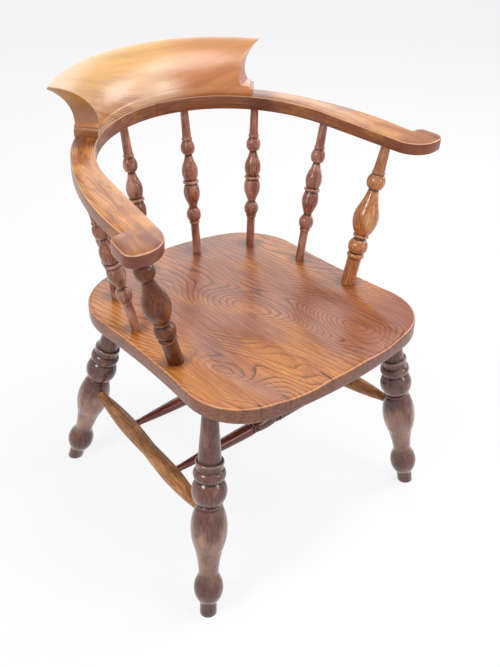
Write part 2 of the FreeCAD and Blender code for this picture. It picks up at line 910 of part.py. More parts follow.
def crest_body():
    """The comb over the bow's back: a rolled section swept round, with scooped, stepped ends."""
    body = doc.addObject("PartDesign::Body", "crest_blank")
    section = new_sketch(body, "YZ_Plane", "crest_section")
    inner = size("bow_inner_radius")
    outer = inner + size("bow_back_width")
    foot = size("crest_plinth_height")
    top = size("crest_height")
    front_top = (inner + size("crest_lean"), top)
    back_top = (front_top[0] + size("crest_edge_run"), top - size("crest_edge_drop"))
    front_foot = (inner + 1, foot)
    back_foot = (outer, foot)

    def rolled(low, high, roll):
        run = (high[0].number - low[0].number, high[1].number - low[1].number)
        length = math.hypot(*run)
        return (
            (low[0] + high[0]) / 2 - roll * (run[1] / length),
            (low[1] + high[1]) / 2 + roll * (run[0] / length),
        )

    draw(
        section,
        (inner, Size(0)),
        [
            [front_foot],
            [rolled(front_foot, front_top, size("crest_roll")), front_top],
            [back_top],
            [rolled(back_foot, back_top, size("crest_back_roll")), back_foot],
            [(outer, Size(0))],
            [(inner, Size(0))],
        ],
    )
    sweep = body.newObject("PartDesign::Revolution", "crest_sweep")
    sweep.Profile = section
    sweep.ReferenceAxis = (section, ["V_Axis"])
    sweep.Midplane = True
    sweep.setExpression("Angle", "Sizes.crest_sweep_angle")
    doc.recompute()

    spare = size("crest_spare")
    plinth_turn = -mm("crest_plinth_angle")
    steps = new_sketch(body, "XZ_Plane", "crest_end_steps", turn=plinth_turn)
    step_height = size("crest_step_height")
    step_width = size("crest_step_width")
    outline = [
        [(Size(0), foot)],
        [(-step_width, foot)],
        [(-step_width, foot + step_height)],
        [(-step_width * 2, foot + step_height)],
        [(-step_width * 2, foot + step_height * 2)],
        [(spare, foot + step_height * 2)],
        [(spare, -spare)],
        [(Size(0), -spare)],
    ]
    draw(steps, (Size(0), -spare), outline)
    stepping = body.newObject("PartDesign::Pocket", "crest_stepping")
    stepping.Profile = steps
    stepping.Type = "ThroughAll"

    scoop_turn = -mm("crest_scoop_angle")
    scoop_plan = new_sketch(body, "XZ_Plane", "crest_end_scoop", turn=scoop_turn)
    low = foot + step_height
    outline = [
        [(-size("crest_scoop_middle"), (low + top) / 2), (-size("crest_horn"), top)],
        [(-size("crest_horn"), top + spare)],
        [(spare, top + spare)],
        [(spare, low)],
        [(-size("crest_scoop_foot"), low)],
    ]
    draw(scoop_plan, (-size("crest_scoop_foot"), low), outline)
    scooping = body.newObject("PartDesign::Pocket", "crest_scooping")
    scooping.Profile = scoop_plan
    scooping.Type = "ThroughAll"
    doc.recompute()
    pair = body.newObject("PartDesign::Mirrored", "crest_other_end")
    pair.Originals = [stepping, scooping]
    plane = next(part for part in body.Origin.OriginFeatures if part.Role == "YZ_Plane")
    pair.MirrorPlane = (plane, [""])
    body.Tip = pair
    body.Placement = BOW_PLACE
    return body


# Fasteners

SCREW_ANGLES = ("outer_screw_angle", "inner_screw_angle")


def screw_place(word, side):
    """A screw that points up through the bow into the crest rail, on the bow's middle line."""
    radius = mm("bow_inner_radius") + mm("bow_back_width") / 2
    angle = math.radians(mm(word)) * side
    low = mm("screw_sink") - mm("bow_thickness")
    spot = Vector(radius * math.sin(angle), radius * math.cos(angle), low)
    return BOW_PLACE * Placement(spot, Rotation())


def screw(name, place):
    body = turned(
        name,
        Size(0),
        size("screw_head_dia"),
        [
            (size("screw_shank_dia"), size("screw_head_depth")),
            (size("screw_shank_dia"), size("screw_shank_length")),
            (size("screw_thread_dia"), 0),
            (size("screw_thread_dia"), size("screw_thread_length")),
            (size("screw_thread_dia") / 4, size("screw_tip_length")),
        ],
    )
    doc.recompute()
    slot = new_sketch(body, "XY_Plane", f"{name}_slot_plan")
    half = size("screw_slot_width") / 2
    reach = size("screw_head_dia")
    corners = [[(half, reach)], [(-half, reach)], [(-half, -reach)], [(half, -reach)]]
    draw(slot, (half, -reach), corners)
    slotting = body.newObject("PartDesign::Pocket", f"{name}_slot")
    slotting.Profile = slot
    slotting.Reversed = True
    slotting.setExpression("Length", "Sizes.screw_slot_depth")
    body.Placement = place
    return body


def screw_hole(name, place):
    """The hole a screw fills, open to the bow's lower face."""
    gap = size("glue_gap") * 2
    head = size("screw_head_dia") + gap
    body = turned(
        name,
        -size("screw_head_dia"),
        head,
        [
            (head, size("screw_head_dia")),
            (size("screw_shank_dia") + gap, size("screw_head_depth")),
            (size("screw_shank_dia") + gap, size("screw_shank_length") + size("socket_end_gap")),
            (size("screw_thread_dia") + gap, 0),
            (
                size("screw_thread_dia") + gap,
                size("screw_thread_length") + size("screw_tip_length"),
            ),
        ],
    )
    body.Placement = place
    return body


def dowel(name, number, extra_radius, extra_length):
    """A dowel, or the hole for one, that runs across the joint at the middle of the bow."""
    radius = mm("bow_inner_radius") + mm("bow_back_width") / 2
    offset = (number - 0.5) * mm("dowel_spacing")
    half = size("dowel_length") / 2 + extra_length
    middle = BOW_PLACE.multVec(Vector(0, radius + offset, -mm("bow_thickness") / 2))
    place = Placement(middle, Rotation(Vector(0, 1, 0), 90))
    return rod(name, place, -half, half, size("dowel_dia") / 2 + extra_radius)


def together(name, pieces):
    group = doc.addObject("Part::Compound", name)
    group.Links = pieces
    return group


# The chair

UPRIGHTS = {
    "support": ("support_foot_dia", "support_top_dia"),
    "outer_spindle": ("spindle_foot_dia", "spindle_top_dia"),
    "middle_spindle": ("spindle_foot_dia", "spindle_top_dia"),
    "inner_spindle": ("spindle_foot_dia", "spindle_top_dia"),
}

seat_sockets = []
bow_sockets = []
for which, words in UPRIGHTS.items():
    seat_socket, bow_socket = upright_sockets(which, *words)
    seat_sockets.append(seat_socket)
    bow_sockets.append(bow_socket)
leg_sockets = [leg_socket("front"), leg_socket("rear")]
right_sockets = seat_sockets + leg_sockets
left_sockets = [mirrored(f"left_{piece.Name}", piece) for piece in right_sockets]

hollows = [
    scoop("seat_dish", "dish", 0),
    scoop("right_thigh_hollow", "hollow", mm("hollow_out")),
    scoop("left_thigh_hollow", "hollow", -mm("hollow_out")),
]
seat = cut("seat", seat_board(), hollows + right_sockets + left_sockets)

pieces = {"seat": seat}
for which in ("front", "rear"):
    right = cut(f"{which}_right_leg", leg(which), [FLOOR, side_socket(which)])
    pieces[f"{which}_right_leg"] = right
    pieces[f"{which}_left_leg"] = mirrored(f"{which}_left_leg", right)

cross_sockets = [cross_socket("front"), cross_socket("rear")]
right = cut("right_side_stretcher", side_stretcher(), cross_sockets)
pieces["right_side_stretcher"] = right
pieces["left_side_stretcher"] = mirrored("left_side_stretcher", right)
for which in ("front", "rear"):
    pieces[f"{which}_cross_stretcher"] = cross_stretcher(which)

pieces["right_arm_support"] = arm_support()
pieces["left_arm_support"] = mirrored("left_arm_support", pieces["right_arm_support"])
for which in ("outer", "middle", "inner"):
    right = spindle(f"right_{which}_spindle", which)
    pieces[f"right_{which}_spindle"] = right
    pieces[f"left_{which}_spindle"] = mirrored(f"left_{which}_spindle", right)

screws = []
screw_holes = []
for word in SCREW_ANGLES:
    for side, hand in ((1, "right"), (-1, "left")):
        name = f"{hand}_{word.replace('_angle', '')}"
        screws.append(screw(name, screw_place(word, side)))
        screw_holes.append(screw_hole(f"{name}_hole", screw_place(word, side)))
dowels = [dowel(f"dowel_{number}", number, 0, 0) for number in (0, 1)]
dowel_holes = [
    dowel(f"dowel_hole_{number}", number, size("glue_gap"), size("socket_end_gap"))
    for number in (0, 1)
]

holes = bow_sockets + screw_holes + dowel_holes
pieces["right_bow_half"] = cut("right_bow_half", bow_half("right"), holes)
pieces["left_bow_half"] = mirrored("left_bow_half", cut("left_bow_twin", bow_half("left"), holes))
pieces["crest_rail"] = cut("crest_rail", crest_body(), screw_holes)
pieces["crest_screws"] = together("crest_screws", screws)
pieces["bow_joint_dowels"] = together("bow_joint_dowels", dowels)

doc.recompute()

for item in doc.Objects:
    if "Invalid" in item.State or "Error" in item.State:
        raise RuntimeError(f"{item.Name} is {item.State}")
for name, piece in pieces.items():
    piece.Label = name
    if piece.Shape.isNull() or not piece.Shape.isValid():
        raise RuntimeError(f"{name} has no valid shape")

os.makedirs("parts", exist_ok=True)
whole = FreeCAD.BoundBox()
for name, piece in pieces.items():
    piece.Shape.exportStep(f"parts/{name}.step")
    for corner in piece.Shape.tessellate(0.5)[0]:
        whole.add(corner)
    print(f"{name:24s} solids {len(piece.Shape.Solids)}  volume {piece.Shape.Volume / 1000:8.1f} cm3")
print("chair from", [round(value, 2) for value in (whole.XMin, whole.YMin, whole.ZMin)])
print("chair to", [round(value, 2) for value in (whole.XMax, whole.YMax, whole.ZMax)])
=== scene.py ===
# %% [markdown]
# # A captains chair in turned and shaped wood
# The chair has a dished elm seat, four splayed turned legs with stretchers between them, turned
# spindles and arm supports, an arm bow in two halves and a rolled crest rail on top of it.
# This lesson makes each visible piece of the construction model again, with smooth, soft
# forms in the same place, and gives it its wood.

# %% Load the packed model
import cmath
import math

import bmesh
import bpy
from mathutils import Matrix, Vector


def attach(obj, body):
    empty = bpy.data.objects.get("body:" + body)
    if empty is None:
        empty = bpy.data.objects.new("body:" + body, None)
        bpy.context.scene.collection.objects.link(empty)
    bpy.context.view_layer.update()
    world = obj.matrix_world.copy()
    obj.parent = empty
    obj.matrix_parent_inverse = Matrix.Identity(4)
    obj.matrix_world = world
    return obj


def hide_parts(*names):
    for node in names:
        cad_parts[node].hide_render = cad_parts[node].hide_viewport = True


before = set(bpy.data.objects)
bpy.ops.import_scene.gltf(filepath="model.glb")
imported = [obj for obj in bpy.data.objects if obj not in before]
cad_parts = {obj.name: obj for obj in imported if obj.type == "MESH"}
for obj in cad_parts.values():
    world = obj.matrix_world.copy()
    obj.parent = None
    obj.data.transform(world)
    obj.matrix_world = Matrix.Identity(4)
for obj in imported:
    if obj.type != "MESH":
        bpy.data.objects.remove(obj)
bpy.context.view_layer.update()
scene = bpy.context.scene
print("construction nodes:", len(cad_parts))

# %% [markdown]
# ## Camera
# The camera was solved from the chair's own symmetry in the photograph. It stands in front of
# the chair and to its left, well above the arms, and looks down by 33.5 degrees.

# %% Camera
LOOKS_DOWN = 33.52
LOOKS_RIGHT = 40.47
camera = bpy.data.objects.new("photo_camera", bpy.data.cameras.new("photo_camera"))
camera.location = (-0.86336, -1.05533, 1.26433)
camera.rotation_euler = (math.radians(90 - LOOKS_DOWN), 0, math.radians(-LOOKS_RIGHT))
camera.data.sensor_width = 36
camera.data.lens = 46.37
scene.collection.objects.link(camera)
scene.camera = camera
scene.view_settings.view_transform = "Standard"
print("camera looks from", camera.location)

# %% [markdown]
# ## Ways to write a material
# A material is a small chain of nodes. These helpers add one node each and join it to the
# nodes before it, so that a wood below reads from the grain to the polish.


# %% Material helpers
class Recipe:
    """The node tree of a material or a world, with short ways to add to it."""

    def __init__(self, owner):
        owner.use_nodes = True
        self.owner = owner
        self.tree = owner.node_tree
        self.surface = self.tree.nodes.get("Principled BSDF")

    def add(self, kind, inputs, **settings):
        """Add a node. An input is a plain value or another node's output."""
        node = self.tree.nodes.new("ShaderNode" + kind)
        for word, value in settings.items():
            setattr(node, word, value)
        self.join(node, inputs)
        return node

    def join(self, node, inputs):
        for socket, value in inputs.items():
            if isinstance(value, bpy.types.NodeSocket):
                self.tree.links.new(value, node.inputs[socket])
            else:
                node.inputs[socket].default_value = value

    def place(self):
        return self.add("TexCoord", {}).outputs["Object"]

    def normal(self):
        return self.add("NewGeometry", {}).outputs["Normal"]

    def remembered(self, word, output="Vector"):
        """What each vertex remembers under a word."""
        return self.add("Attribute", {}, attribute_name=word).outputs[output]

    def parts(self, place):
        return self.add("SeparateXYZ", {0: place}).outputs

    def math(self, operation, *values):
        return self.add("Math", dict(enumerate(values)), operation=operation).outputs[0]

    def scaled(self, value, times, plus=0.0):
        return self.math("MULTIPLY_ADD", value, times, plus)

    def gap(self, value, other):
        return self.math("ABSOLUTE", self.math("SUBTRACT", value, other))

    def vector(self, operation, *values):
        """Reckon with places. The first output is a place and "Value" is a number."""
        return self.add("VectorMath", dict(enumerate(values)), operation=operation).outputs

    def stretched(self, place, scale):
        return self.vector("MULTIPLY", place, scale)[0]

    def noise(self, place, scale, detail, roughness, distortion=0.0):
        inputs = {
            "Vector": place, "Scale": scale, "Detail": detail, "Roughness": roughness,
            "Distortion": distortion,
        }
        return self.add("TexNoise", inputs).outputs["Fac"]

    def streaks(self, grain, draw, scale, detail, roughness, distortion=0.0):
        """Noise drawn out along the grain. The smaller the draw, the longer the streaks."""
        drawn = self.stretched(grain, (1, 1, draw))
        return self.noise(drawn, scale, detail, roughness, distortion)

    def fade(self, value, start, end):
        """0 where the value is at start and 1 at end, with a soft run between."""
        inputs = {"Value": value, "From Min": start, "From Max": end}
        return self.add("MapRange", inputs, interpolation_type="SMOOTHSTEP").outputs["Result"]

    def blend(self, share, first, second):
        """Mix two colours by a share from 0 to 1."""
        inputs = {0: share, 6: first, 7: second}
        return self.add("Mix", inputs, data_type="RGBA").outputs[2]

    def stain(self, colour, where, strength, stain):
        """Lay a stain over a colour where a mask is 1, no stronger than given."""
        return self.blend(self.scaled(where, strength), colour, stain)

    def ramp(self, value, stops):
        """A run of colours, each with its position."""
        node = self.add("ValToRGB", {"Fac": value})
        elements = node.color_ramp.elements
        while len(elements) < len(stops):
            elements.new(0.5)
        for element, (position, colour) in zip(elements, stops):
            element.position = position
            element.color = colour
        return node.outputs["Color"]


def new_material(name):
    return Recipe(bpy.data.materials.new(name))


print("words for a material:", *(word for word in vars(Recipe) if word[0] != "_"))

# %% [markdown]
# ## Light, floor and background
# The chair stands on seamless white paper under five soft lamps. The left one gives the broad
# sheen on the crest rail, the right one opens the shadows, and the others light the turnings,
# the arms and the seat. The paper and the world are white to the camera and in reflections,
# but light the wood softly.

# %% Studio
LAMP_AIM = Vector((0, 0, 0.5))
LAMPS = {
    "left_lamp": ((-2.3, -0.15, 2.1), 0.9, 35),
    "right_lamp": ((2.4, -0.75, 1.75), 1.2, 25),
    "front_lamp": ((1.1, -2.3, 1.5), 0.7, 10),
    "window_behind": ((1.5, 1.9, 1.9), 1.5, 14),
    "top_lamp": ((0.5, -0.8, 2.7), 1.4, 24),
}
for name, (place, size, power) in LAMPS.items():
    lamp = bpy.data.lights.new(name, "AREA")
    lamp.shape = "SQUARE"
    lamp.size = size
    lamp.energy = power
    holder = bpy.data.objects.new(name, lamp)
    holder.location = place
    holder.rotation_euler = (LAMP_AIM - Vector(place)).to_track_quat("-Z", "Y").to_euler()
    scene.collection.objects.link(holder)


def show_white(recipe, lit, white, most, output):
    """Let the camera see white, also in a reflection or through glass, and not what is lit."""
    path = recipe.add("LightPath", {}).outputs
    seen = recipe.math("MAXIMUM", path["Is Camera Ray"], path["Is Glossy Ray"])
    seen = recipe.math("MAXIMUM", seen, path["Is Transmission Ray"])
    share = recipe.scaled(seen, most)
    mix = recipe.add("MixShader", {0: share, 1: lit.outputs[0], 2: white.outputs[0]})
    recipe.join(recipe.tree.nodes[output], {"Surface": mix.outputs[0]})


scene.world = bpy.data.worlds.new("studio")
world = Recipe(scene.world)
light = world.tree.nodes["Background"]
world.join(light, {"Color": (0.92, 0.95, 1.0, 1), "Strength": 0.5})
paper = world.add("Background", {"Color": (0.97, 0.96, 0.97, 1), "Strength": 1.0})
show_white(world, light, paper, 1, "World Output")

bpy.ops.mesh.primitive_plane_add(size=14)
floor = bpy.context.object
floor.name = "paper_floor"
sheet = new_material("white_paper")
sheet.join(sheet.surface, {"Base Color": (0.9, 0.895, 0.9, 1), "Roughness": 0.9})
glow = sheet.add("Emission", {"Color": (1, 0.99, 0.995, 1), "Strength": 1.0})
show_white(sheet, sheet.surface, glow, 0.8, "Material Output")
floor.data.materials.append(sheet.owner)
print("lamps", len(LAMPS), "floor size", floor.dimensions)

# %% [markdown]
# ## Ways to shape a piece
# Each piece is shaped in millimetres, as it lies on the bench, and then goes to its place.
# Before it goes, every vertex remembers as "grain" where it lies in its own board. The third
# number runs along the grain. The woods read it, so the grain turns with the piece.

# %% Shaping helpers
MM = 0.001
UP = Vector((0, 0, 1))
SHARP = math.radians(28)
SAME_PLACE = 1e-4


def arc(start, middle, end, count):
    """Places on the circular arc through three places of a plane, without its start."""
    first, second, third = (complex(*place) for place in (start, middle, end))
    lean = (third - first) / (second - first)
    if abs(lean.imag) < 1e-6:
        return [tuple(end)]
    centre = first + (second - first) * (lean - abs(lean) ** 2) / (2j * lean.imag)
    turn = sum(
        cmath.phase((after - centre) / (before - centre))
        for before, after in ((first, second), (second, third))
    )
    places = [centre + (first - centre) * cmath.rect(1, turn * step / count)
              for step in range(1, count + 1)]
    return [(place.real, place.imag) for place in places]


def wire(bm, places, closed=True):
    """Lay edges from each place to the next, and back to the first if closed."""
    corners = [bm.verts.new(place) for place in places]
    following = [*corners[1:], corners[0]] if closed else corners[1:]
    for before, after in zip(corners, following):
        bm.edges.new((before, after))


def spin(bm, axis, angle, steps, joined):
    """Turn a wire about the upright axis to a skin, joined to its start or not."""
    bmesh.ops.spin(
        bm, geom=bm.verts[:] + bm.edges[:], cent=(0, 0, 0), axis=axis, dvec=(0, 0, 0),
        angle=angle, steps=steps, use_merge=joined, use_duplicate=False,
    )


def sharp_edges(bm, angle=SHARP):
    return [edge for edge in bm.edges if edge.is_manifold and edge.calc_face_angle(0) > angle]


def soften(bm, edges, width, segments=2):
    bmesh.ops.bevel(
        bm, geom=edges, offset=width, offset_type="OFFSET", segments=segments,
        profile=0.5, affect="EDGES", clamp_overlap=True, material=-1,
    )


def remember_grain(bm, shift, in_board):
    """Store each vertex's place in its board, in metres. The shift picks a board."""
    layer = bm.verts.layers.float_vector.new("grain")
    for vertex in bm.verts:
        vertex[layer] = in_board(vertex.co) * MM + Vector(shift)


def hand_in(bm, name, node, material):
    """Make the object of a shaped piece that lies in its place, in millimetres."""
    bmesh.ops.remove_doubles(bm, verts=bm.verts, dist=SAME_PLACE)
    bmesh.ops.recalc_face_normals(bm, faces=bm.faces)
    bmesh.ops.scale(bm, vec=(MM, MM, MM), verts=bm.verts)
    for face in bm.faces:
        face.smooth = True
    mesh = bpy.data.meshes.new(name)
    bm.to_mesh(mesh)
    bm.free()
    mesh.materials.append(material)
    piece = bpy.data.objects.new(name, mesh)
    scene.collection.objects.link(piece)
    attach(piece, "root")
    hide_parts(node)
    print(name, "faces", len(mesh.polygons), "size", piece.dimensions)


print("a half circle in two steps:", arc((-1, 0), (0, 1), (1, 0), 2))

# %% [markdown]
# ## Woods
# All woods of the chair share one build-up. A fine noise drawn out along the grain gives the
# fibres, and a finer one the open pores. A thin clear coat over a satin surface is the wax. The
# wood under it shines little, so that dark stains stay dark beside the white paper. Pictures
# of wood would show seams, but noise in the grain's own numbers runs through every piece.


# %% Wood
def linear(red, green, blue):
    """A colour given as 0 to 255, as the shader wants it."""
    return (*((part / 255) ** 2.2 for part in (red, green, blue)), 1)


def grey(level):
    return (level, level, level, 1)


def fibres(recipe, grain, fineness=1.0):
    """Streaks along the grain, from 0 to 1."""
    broad = recipe.streaks(grain, 0.05, 260 * fineness, 3, 0.6)
    fine = recipe.streaks(grain, 0.035, 1100 * fineness, 2, 0.5)
    return recipe.scaled(fine, 0.45, broad)


def polish(recipe, colour, dull, relief, coat, coat_dull=0.12, depth=0.0003):
    """Finish a wood: its colour, how dull it is, its fine relief and the wax on top."""
    bump = recipe.add("Bump", {"Height": relief, "Distance": depth, "Strength": 0.35})
    recipe.join(recipe.surface, {
        "Base Color": colour, "Roughness": dull, "Normal": bump.outputs["Normal"],
        "IOR": 1.48, "Specular IOR Level": 0.25,
        "Coat Weight": coat, "Coat Roughness": coat_dull,
    })
    return recipe.owner


print("a spindle's brown for the shader:", linear(140, 80, 62))

# %% [markdown]
# ### Turned woods
# Six stains dress the turnings, from the golden right arm support to the dark legs. The left
# arm support gets a darker copy of the right one's stain as painted shade. Slow noise mixes in
# darker runs and rubbed patches. The hollows are made darker, and crowns are rubbed paler.
# The legs are scuffed above their feet, where shoes touch them.


# %% Turned woods
def turned_wood(name, dark, middle, light, worn, wear, coat, dullest=0.2, scuffed_below=0.0):
    """Stained turnings: streaks along the axis, dark grooves, and rubbed crowns and patches.
    Below a height over the floor, in metres, the polish is scuffed away."""
    recipe = new_material(name)
    grain = recipe.remembered("grain")
    hollow = recipe.remembered("hollow", "Fac")
    streak = fibres(recipe, grain, 1.5)
    base = recipe.ramp(streak, [(0.3, dark), (0.66, middle), (1.05, light)])
    tint = recipe.streaks(grain, 0.25, 16, 2, 0.5)
    base = recipe.blend(recipe.fade(tint, 0.35, 0.7), recipe.blend(0.45, base, dark), base)
    patch = recipe.streaks(grain, 0.5, 40, 3, 0.55)
    rubbed_and_highlight = recipe.scaled(recipe.fade(patch, 0.46, 0.72), wear)
    if scuffed_below:
        height = recipe.parts(recipe.place())[2]
        ragged = recipe.scaled(patch, -0.1, height)
        low = recipe.fade(ragged, scuffed_below, scuffed_below - 0.07)
        low = recipe.scaled(low, recipe.fade(height, 0.06, 0.12))
        scuff = recipe.scaled(low, recipe.fade(patch, 0.15, 1.0))
        rubbed_and_highlight = recipe.math("MAXIMUM", rubbed_and_highlight, scuff)
    colour = recipe.blend(rubbed_and_highlight, base, worn)
    colour = recipe.stain(colour, recipe.fade(hollow, -0.25, -1.2), 0.3, worn)
    # The hollows are made darker
    colour = recipe.stain(colour, recipe.fade(hollow, 0.2, 1.0), 0.85, linear(24, 11, 8))
    dull = recipe.scaled(patch, 0.16, dullest)
    dull = recipe.scaled(rubbed_and_highlight, 0.22, dull)
    return polish(recipe, colour, dull, streak, coat, depth=0.00015)


# The colours of the fibres from dark to light, and of the rubbed places
TURNED_WOODS = {
    "spindle_wood": ([(58, 27, 22), (140, 80, 62), (210, 144, 112), (218, 166, 140)],
                     {"wear": 0.45, "coat": 0.5}),
    "support_wood": ([(72, 34, 20), (158, 92, 50), (222, 152, 90), (232, 172, 118)],
                     {"wear": 0.45, "coat": 0.6}),
    # The left arm support's darker copy of the support stain, as painted shade
    "dark_support_wood": ([(44, 18, 12), (98, 48, 26), (148, 84, 48), (178, 116, 76)],
                          {"wear": 0.3, "coat": 0.25}),
    "leg_wood": ([(48, 24, 22), (90, 51, 44), (134, 85, 70), (192, 150, 124)],
                 {"wear": 0.2, "coat": 0.8, "dullest": 0.15, "scuffed_below": 0.175}),
    "stretcher_wood": ([(60, 30, 20), (142, 88, 54), (214, 156, 96), (206, 152, 106)],
                       {"wear": 0.6, "coat": 0.1, "dullest": 0.38}),
    "cross_wood": ([(52, 20, 17), (92, 42, 33), (136, 74, 54), (172, 116, 88)],
                   {"wear": 0.2, "coat": 0.5}),
}
woods = {
    name: turned_wood(name, *(linear(*colour) for colour in colours), **wear)
    for name, (colours, wear) in TURNED_WOODS.items()
}
for name, wood in woods.items():
    print(name, "nodes", len(wood.node_tree.nodes))

# %% [markdown]
# ## Turned pieces
# Legs, spindles, supports and stretchers come off the lathe. Their steps along the axis
# are listed as on a turner's pattern stick: the end diameter and the length of a straight or
# tapered run, or the middle diameter, end diameter and length of a rounded one. The half
# outline is spun once round the axis and every crisp ring is rounded over, because a wooden
# arris is never knife sharp. A screw modifier could also make it, but the spin keeps clean
# quads and an exact axis. Each vertex remembers how hollow the outline is there, so that the
# wood is made darker in the grooves.

# %% Turning
SIDES_ROUND = 48
LONGEST_ROW = 6
RING_ROUND = 0.45


def lathe_outline(foot, steps, low):
    """The half outline of a turning as places (radius, height)."""
    outline = [(foot / 2, low)]
    height = low
    for step in steps:
        length = step[-1]
        start = outline[-1]
        end = (step[-2] / 2, height + length)
        if len(step) == 3:
            middle = (step[0] / 2, height + length / 2)
            outline += arc(start, middle, end, max(5, min(14, round(length / 3))))
        elif end != start:
            outline.append(end)
        height += length
    return outline


def close_rows(outline):
    """An outline with places added, so that no run between two of them is too long."""
    rows = [outline[0]]
    for before, after in zip(outline, outline[1:]):
        count = max(1, math.ceil(math.dist(before, after) / LONGEST_ROW))
        rows += [tuple(Vector(before).lerp(Vector(after), (n + 1) / count)) for n in range(count)]
    return rows


def at_height(outline, height):
    """The radius of an outline at a height, also past its ends and where it steps."""
    after = next((place for place in outline if place[1] >= height), outline[-1])
    before = outline[max(0, outline.index(after) - 1)]
    if after[1] - before[1] < 1e-6:
        return after[0]
    share = max(0, min(1, (height - before[1]) / (after[1] - before[1])))
    return before[0] + (after[0] - before[0]) * share


def hollowness(outline, height, radius):
    """How far a place lies inside the outline's mean around it, in units of 2 mm."""
    near = [at_height(outline, height + step) for step in (-6, -4, -2, 2, 4, 6)]
    return (sum(near) / len(near) - radius) / 2


def own_board(node):
    """A shift that gives each turning its own board."""
    number = sum(map(ord, node)) % 11
    return [0.37 * step + 0.05 * len(node) for step in (number, 3, 1)]


def mirrored(place, side):
    """A place of the right-hand side, or its twin on the left."""
    return Vector((place.x * side, place.y, place.z))


def turned_piece(node, wood, side, low, high, foot, steps, start, sawn_level=False):
    """Turn a piece and set it between two places of the right-hand side or their twins."""
    low, high = mirrored(low, side), mirrored(high, side)
    outline = close_rows(lathe_outline(foot, steps, start))
    bm = bmesh.new()
    closed_outline = [(0, outline[0][1]), *outline, (0, outline[-1][1])]
    wire(bm, [(radius, 0, height) for radius, height in closed_outline], closed=False)
    spin(bm, UP, math.tau, SIDES_ROUND, joined=True)
    bmesh.ops.remove_doubles(bm, verts=bm.verts, dist=1e-3)
    soften(bm, sharp_edges(bm), RING_ROUND)
    bmesh.ops.remove_doubles(bm, verts=bm.verts, dist=1e-3)
    remember_grain(bm, own_board(node), lambda place: place)
    layer = bm.verts.layers.float.new("hollow")
    for vertex in bm.verts:
        radius = math.hypot(vertex.co.x, vertex.co.y)
        vertex[layer] = hollowness(outline, vertex.co.z, radius)
    turn = UP.rotation_difference(high - low).to_matrix().to_4x4()
    bmesh.ops.transform(bm, matrix=Matrix.Translation(low) @ turn, verts=bm.verts)
    if sawn_level:
        sawn = bmesh.ops.bisect_plane(
            bm, geom=bm.verts[:] + bm.edges[:] + bm.faces[:], plane_co=(0, 0, 0),
            plane_no=-UP, clear_outer=True,
        )
        rim = [part for part in sawn["geom_cut"] if isinstance(part, bmesh.types.BMEdge)]
        bmesh.ops.edgeloop_fill(bm, edges=rim)
    hand_in(bm, f"turned_{node}", node, wood)


HANDS = (("right", 1), ("left", -1))
print("places round a ball's outline:", len(lathe_outline(20, [(30, 20, 20)], 0)))

# %% [markdown]
# ### The four legs
# Each leg stands on a short peg under a ball, swells into a long vase and has a bulb, two
# rings and a plain tapered top that is let into the seat. The legs splay, the rear ones
# much more, so each foot is sawn off level with the floor at the end.

# %% Legs
SEAT_HEIGHT = 440
SEAT_THICKNESS = 32
UNDER_SEAT = SEAT_HEIGHT - SEAT_THICKNESS
FEET = {"front": Vector((265, -239, 0)), "rear": Vector((227, 280.9, 0))}
LEG_TOPS = {"front": Vector((213, -195, UNDER_SEAT)), "rear": Vector((140.5, 170.5, UNDER_SEAT))}
FOOT_SPARE = 9
PEG = 30.5
LEG_STEPS = [
    (PEG, 27 + FOOT_SPARE),
    (34, 0), (52.5, 42, 50),  # ball
    (34.5, 10), (40, 49.5, 54),  # ankle and calf
    (64, 48, 84),  # vase
    (42, 4), (46.5, 42, 6),  # throat and its ring
    (43, 0), (61, 43, 47),  # bulb
    (47, 0), (56, 47, 20),  # broad ring
    (46, 0), (46, 9), (49.5, 46, 7),  # collar and its lip
    (40, 0),  # foot of the plain top
]
LEG_TENON = (26, 22)
turned_length = sum(step[-1] for step in LEG_STEPS) - FOOT_SPARE
for which in ("front", "rear"):
    foot, top = FEET[which], LEG_TOPS[which]
    steps = [*LEG_STEPS, (LEG_TENON[0], (top - foot).length - turned_length), LEG_TENON]
    for hand, side in HANDS:
        turned_piece(f"{which}_{hand}_leg", woods["leg_wood"], side, foot, top,
                     PEG, steps, -FOOT_SPARE, sawn_level=True)

# %% [markdown]
# ### The stretchers
# Two side stretchers join front and rear legs. Each swells twice, where the two cross
# stretchers are let in, and thins to a tenon at both ends. The cross stretchers taper
# outwards from a barrel between two rings.

# %% Stretchers
SIDE_HEIGHTS = {"front": 199, "rear": 191}
SIDE_TENON_FROM_AXIS = 14
SIDE_TENON = (17, 24)
SIDE_SWELL = 33.5
CROSS_PLACES = {"front": -83, "rear": 76.5}


def on_leg(which):
    """Where the side stretcher meets the axis of a leg."""
    foot, top = FEET[which], LEG_TOPS[which]
    return foot + (top - foot) * (SIDE_HEIGHTS[which] / top.z)


SIDE_FRONT, SIDE_REAR = on_leg("front"), on_leg("rear")


def on_side_stretcher(along):
    share = (along - SIDE_FRONT.y) / (SIDE_REAR.y - SIDE_FRONT.y)
    return SIDE_FRONT.lerp(SIDE_REAR, share)


span = (SIDE_REAR - SIDE_FRONT).length
swells = [(on_side_stretcher(along) - SIDE_FRONT).length for along in CROSS_PLACES.values()]
tenon_end = SIDE_TENON_FROM_AXIS + SIDE_TENON[1]
half_gap = (swells[1] - swells[0]) / 2
side_steps = [
    SIDE_TENON,
    (28.5, SIDE_SWELL, swells[0] - tenon_end),
    (31.3, 28, half_gap),
    (31.3, SIDE_SWELL, half_gap),
    (28.5, SIDE_TENON[0], span - swells[1] - tenon_end),
    SIDE_TENON,
]
for hand, side in HANDS:
    turned_piece(
        f"{hand}_side_stretcher", woods["stretcher_wood"], side,
        SIDE_FRONT, SIDE_REAR, SIDE_TENON[0], side_steps, SIDE_TENON_FROM_AXIS,
    )

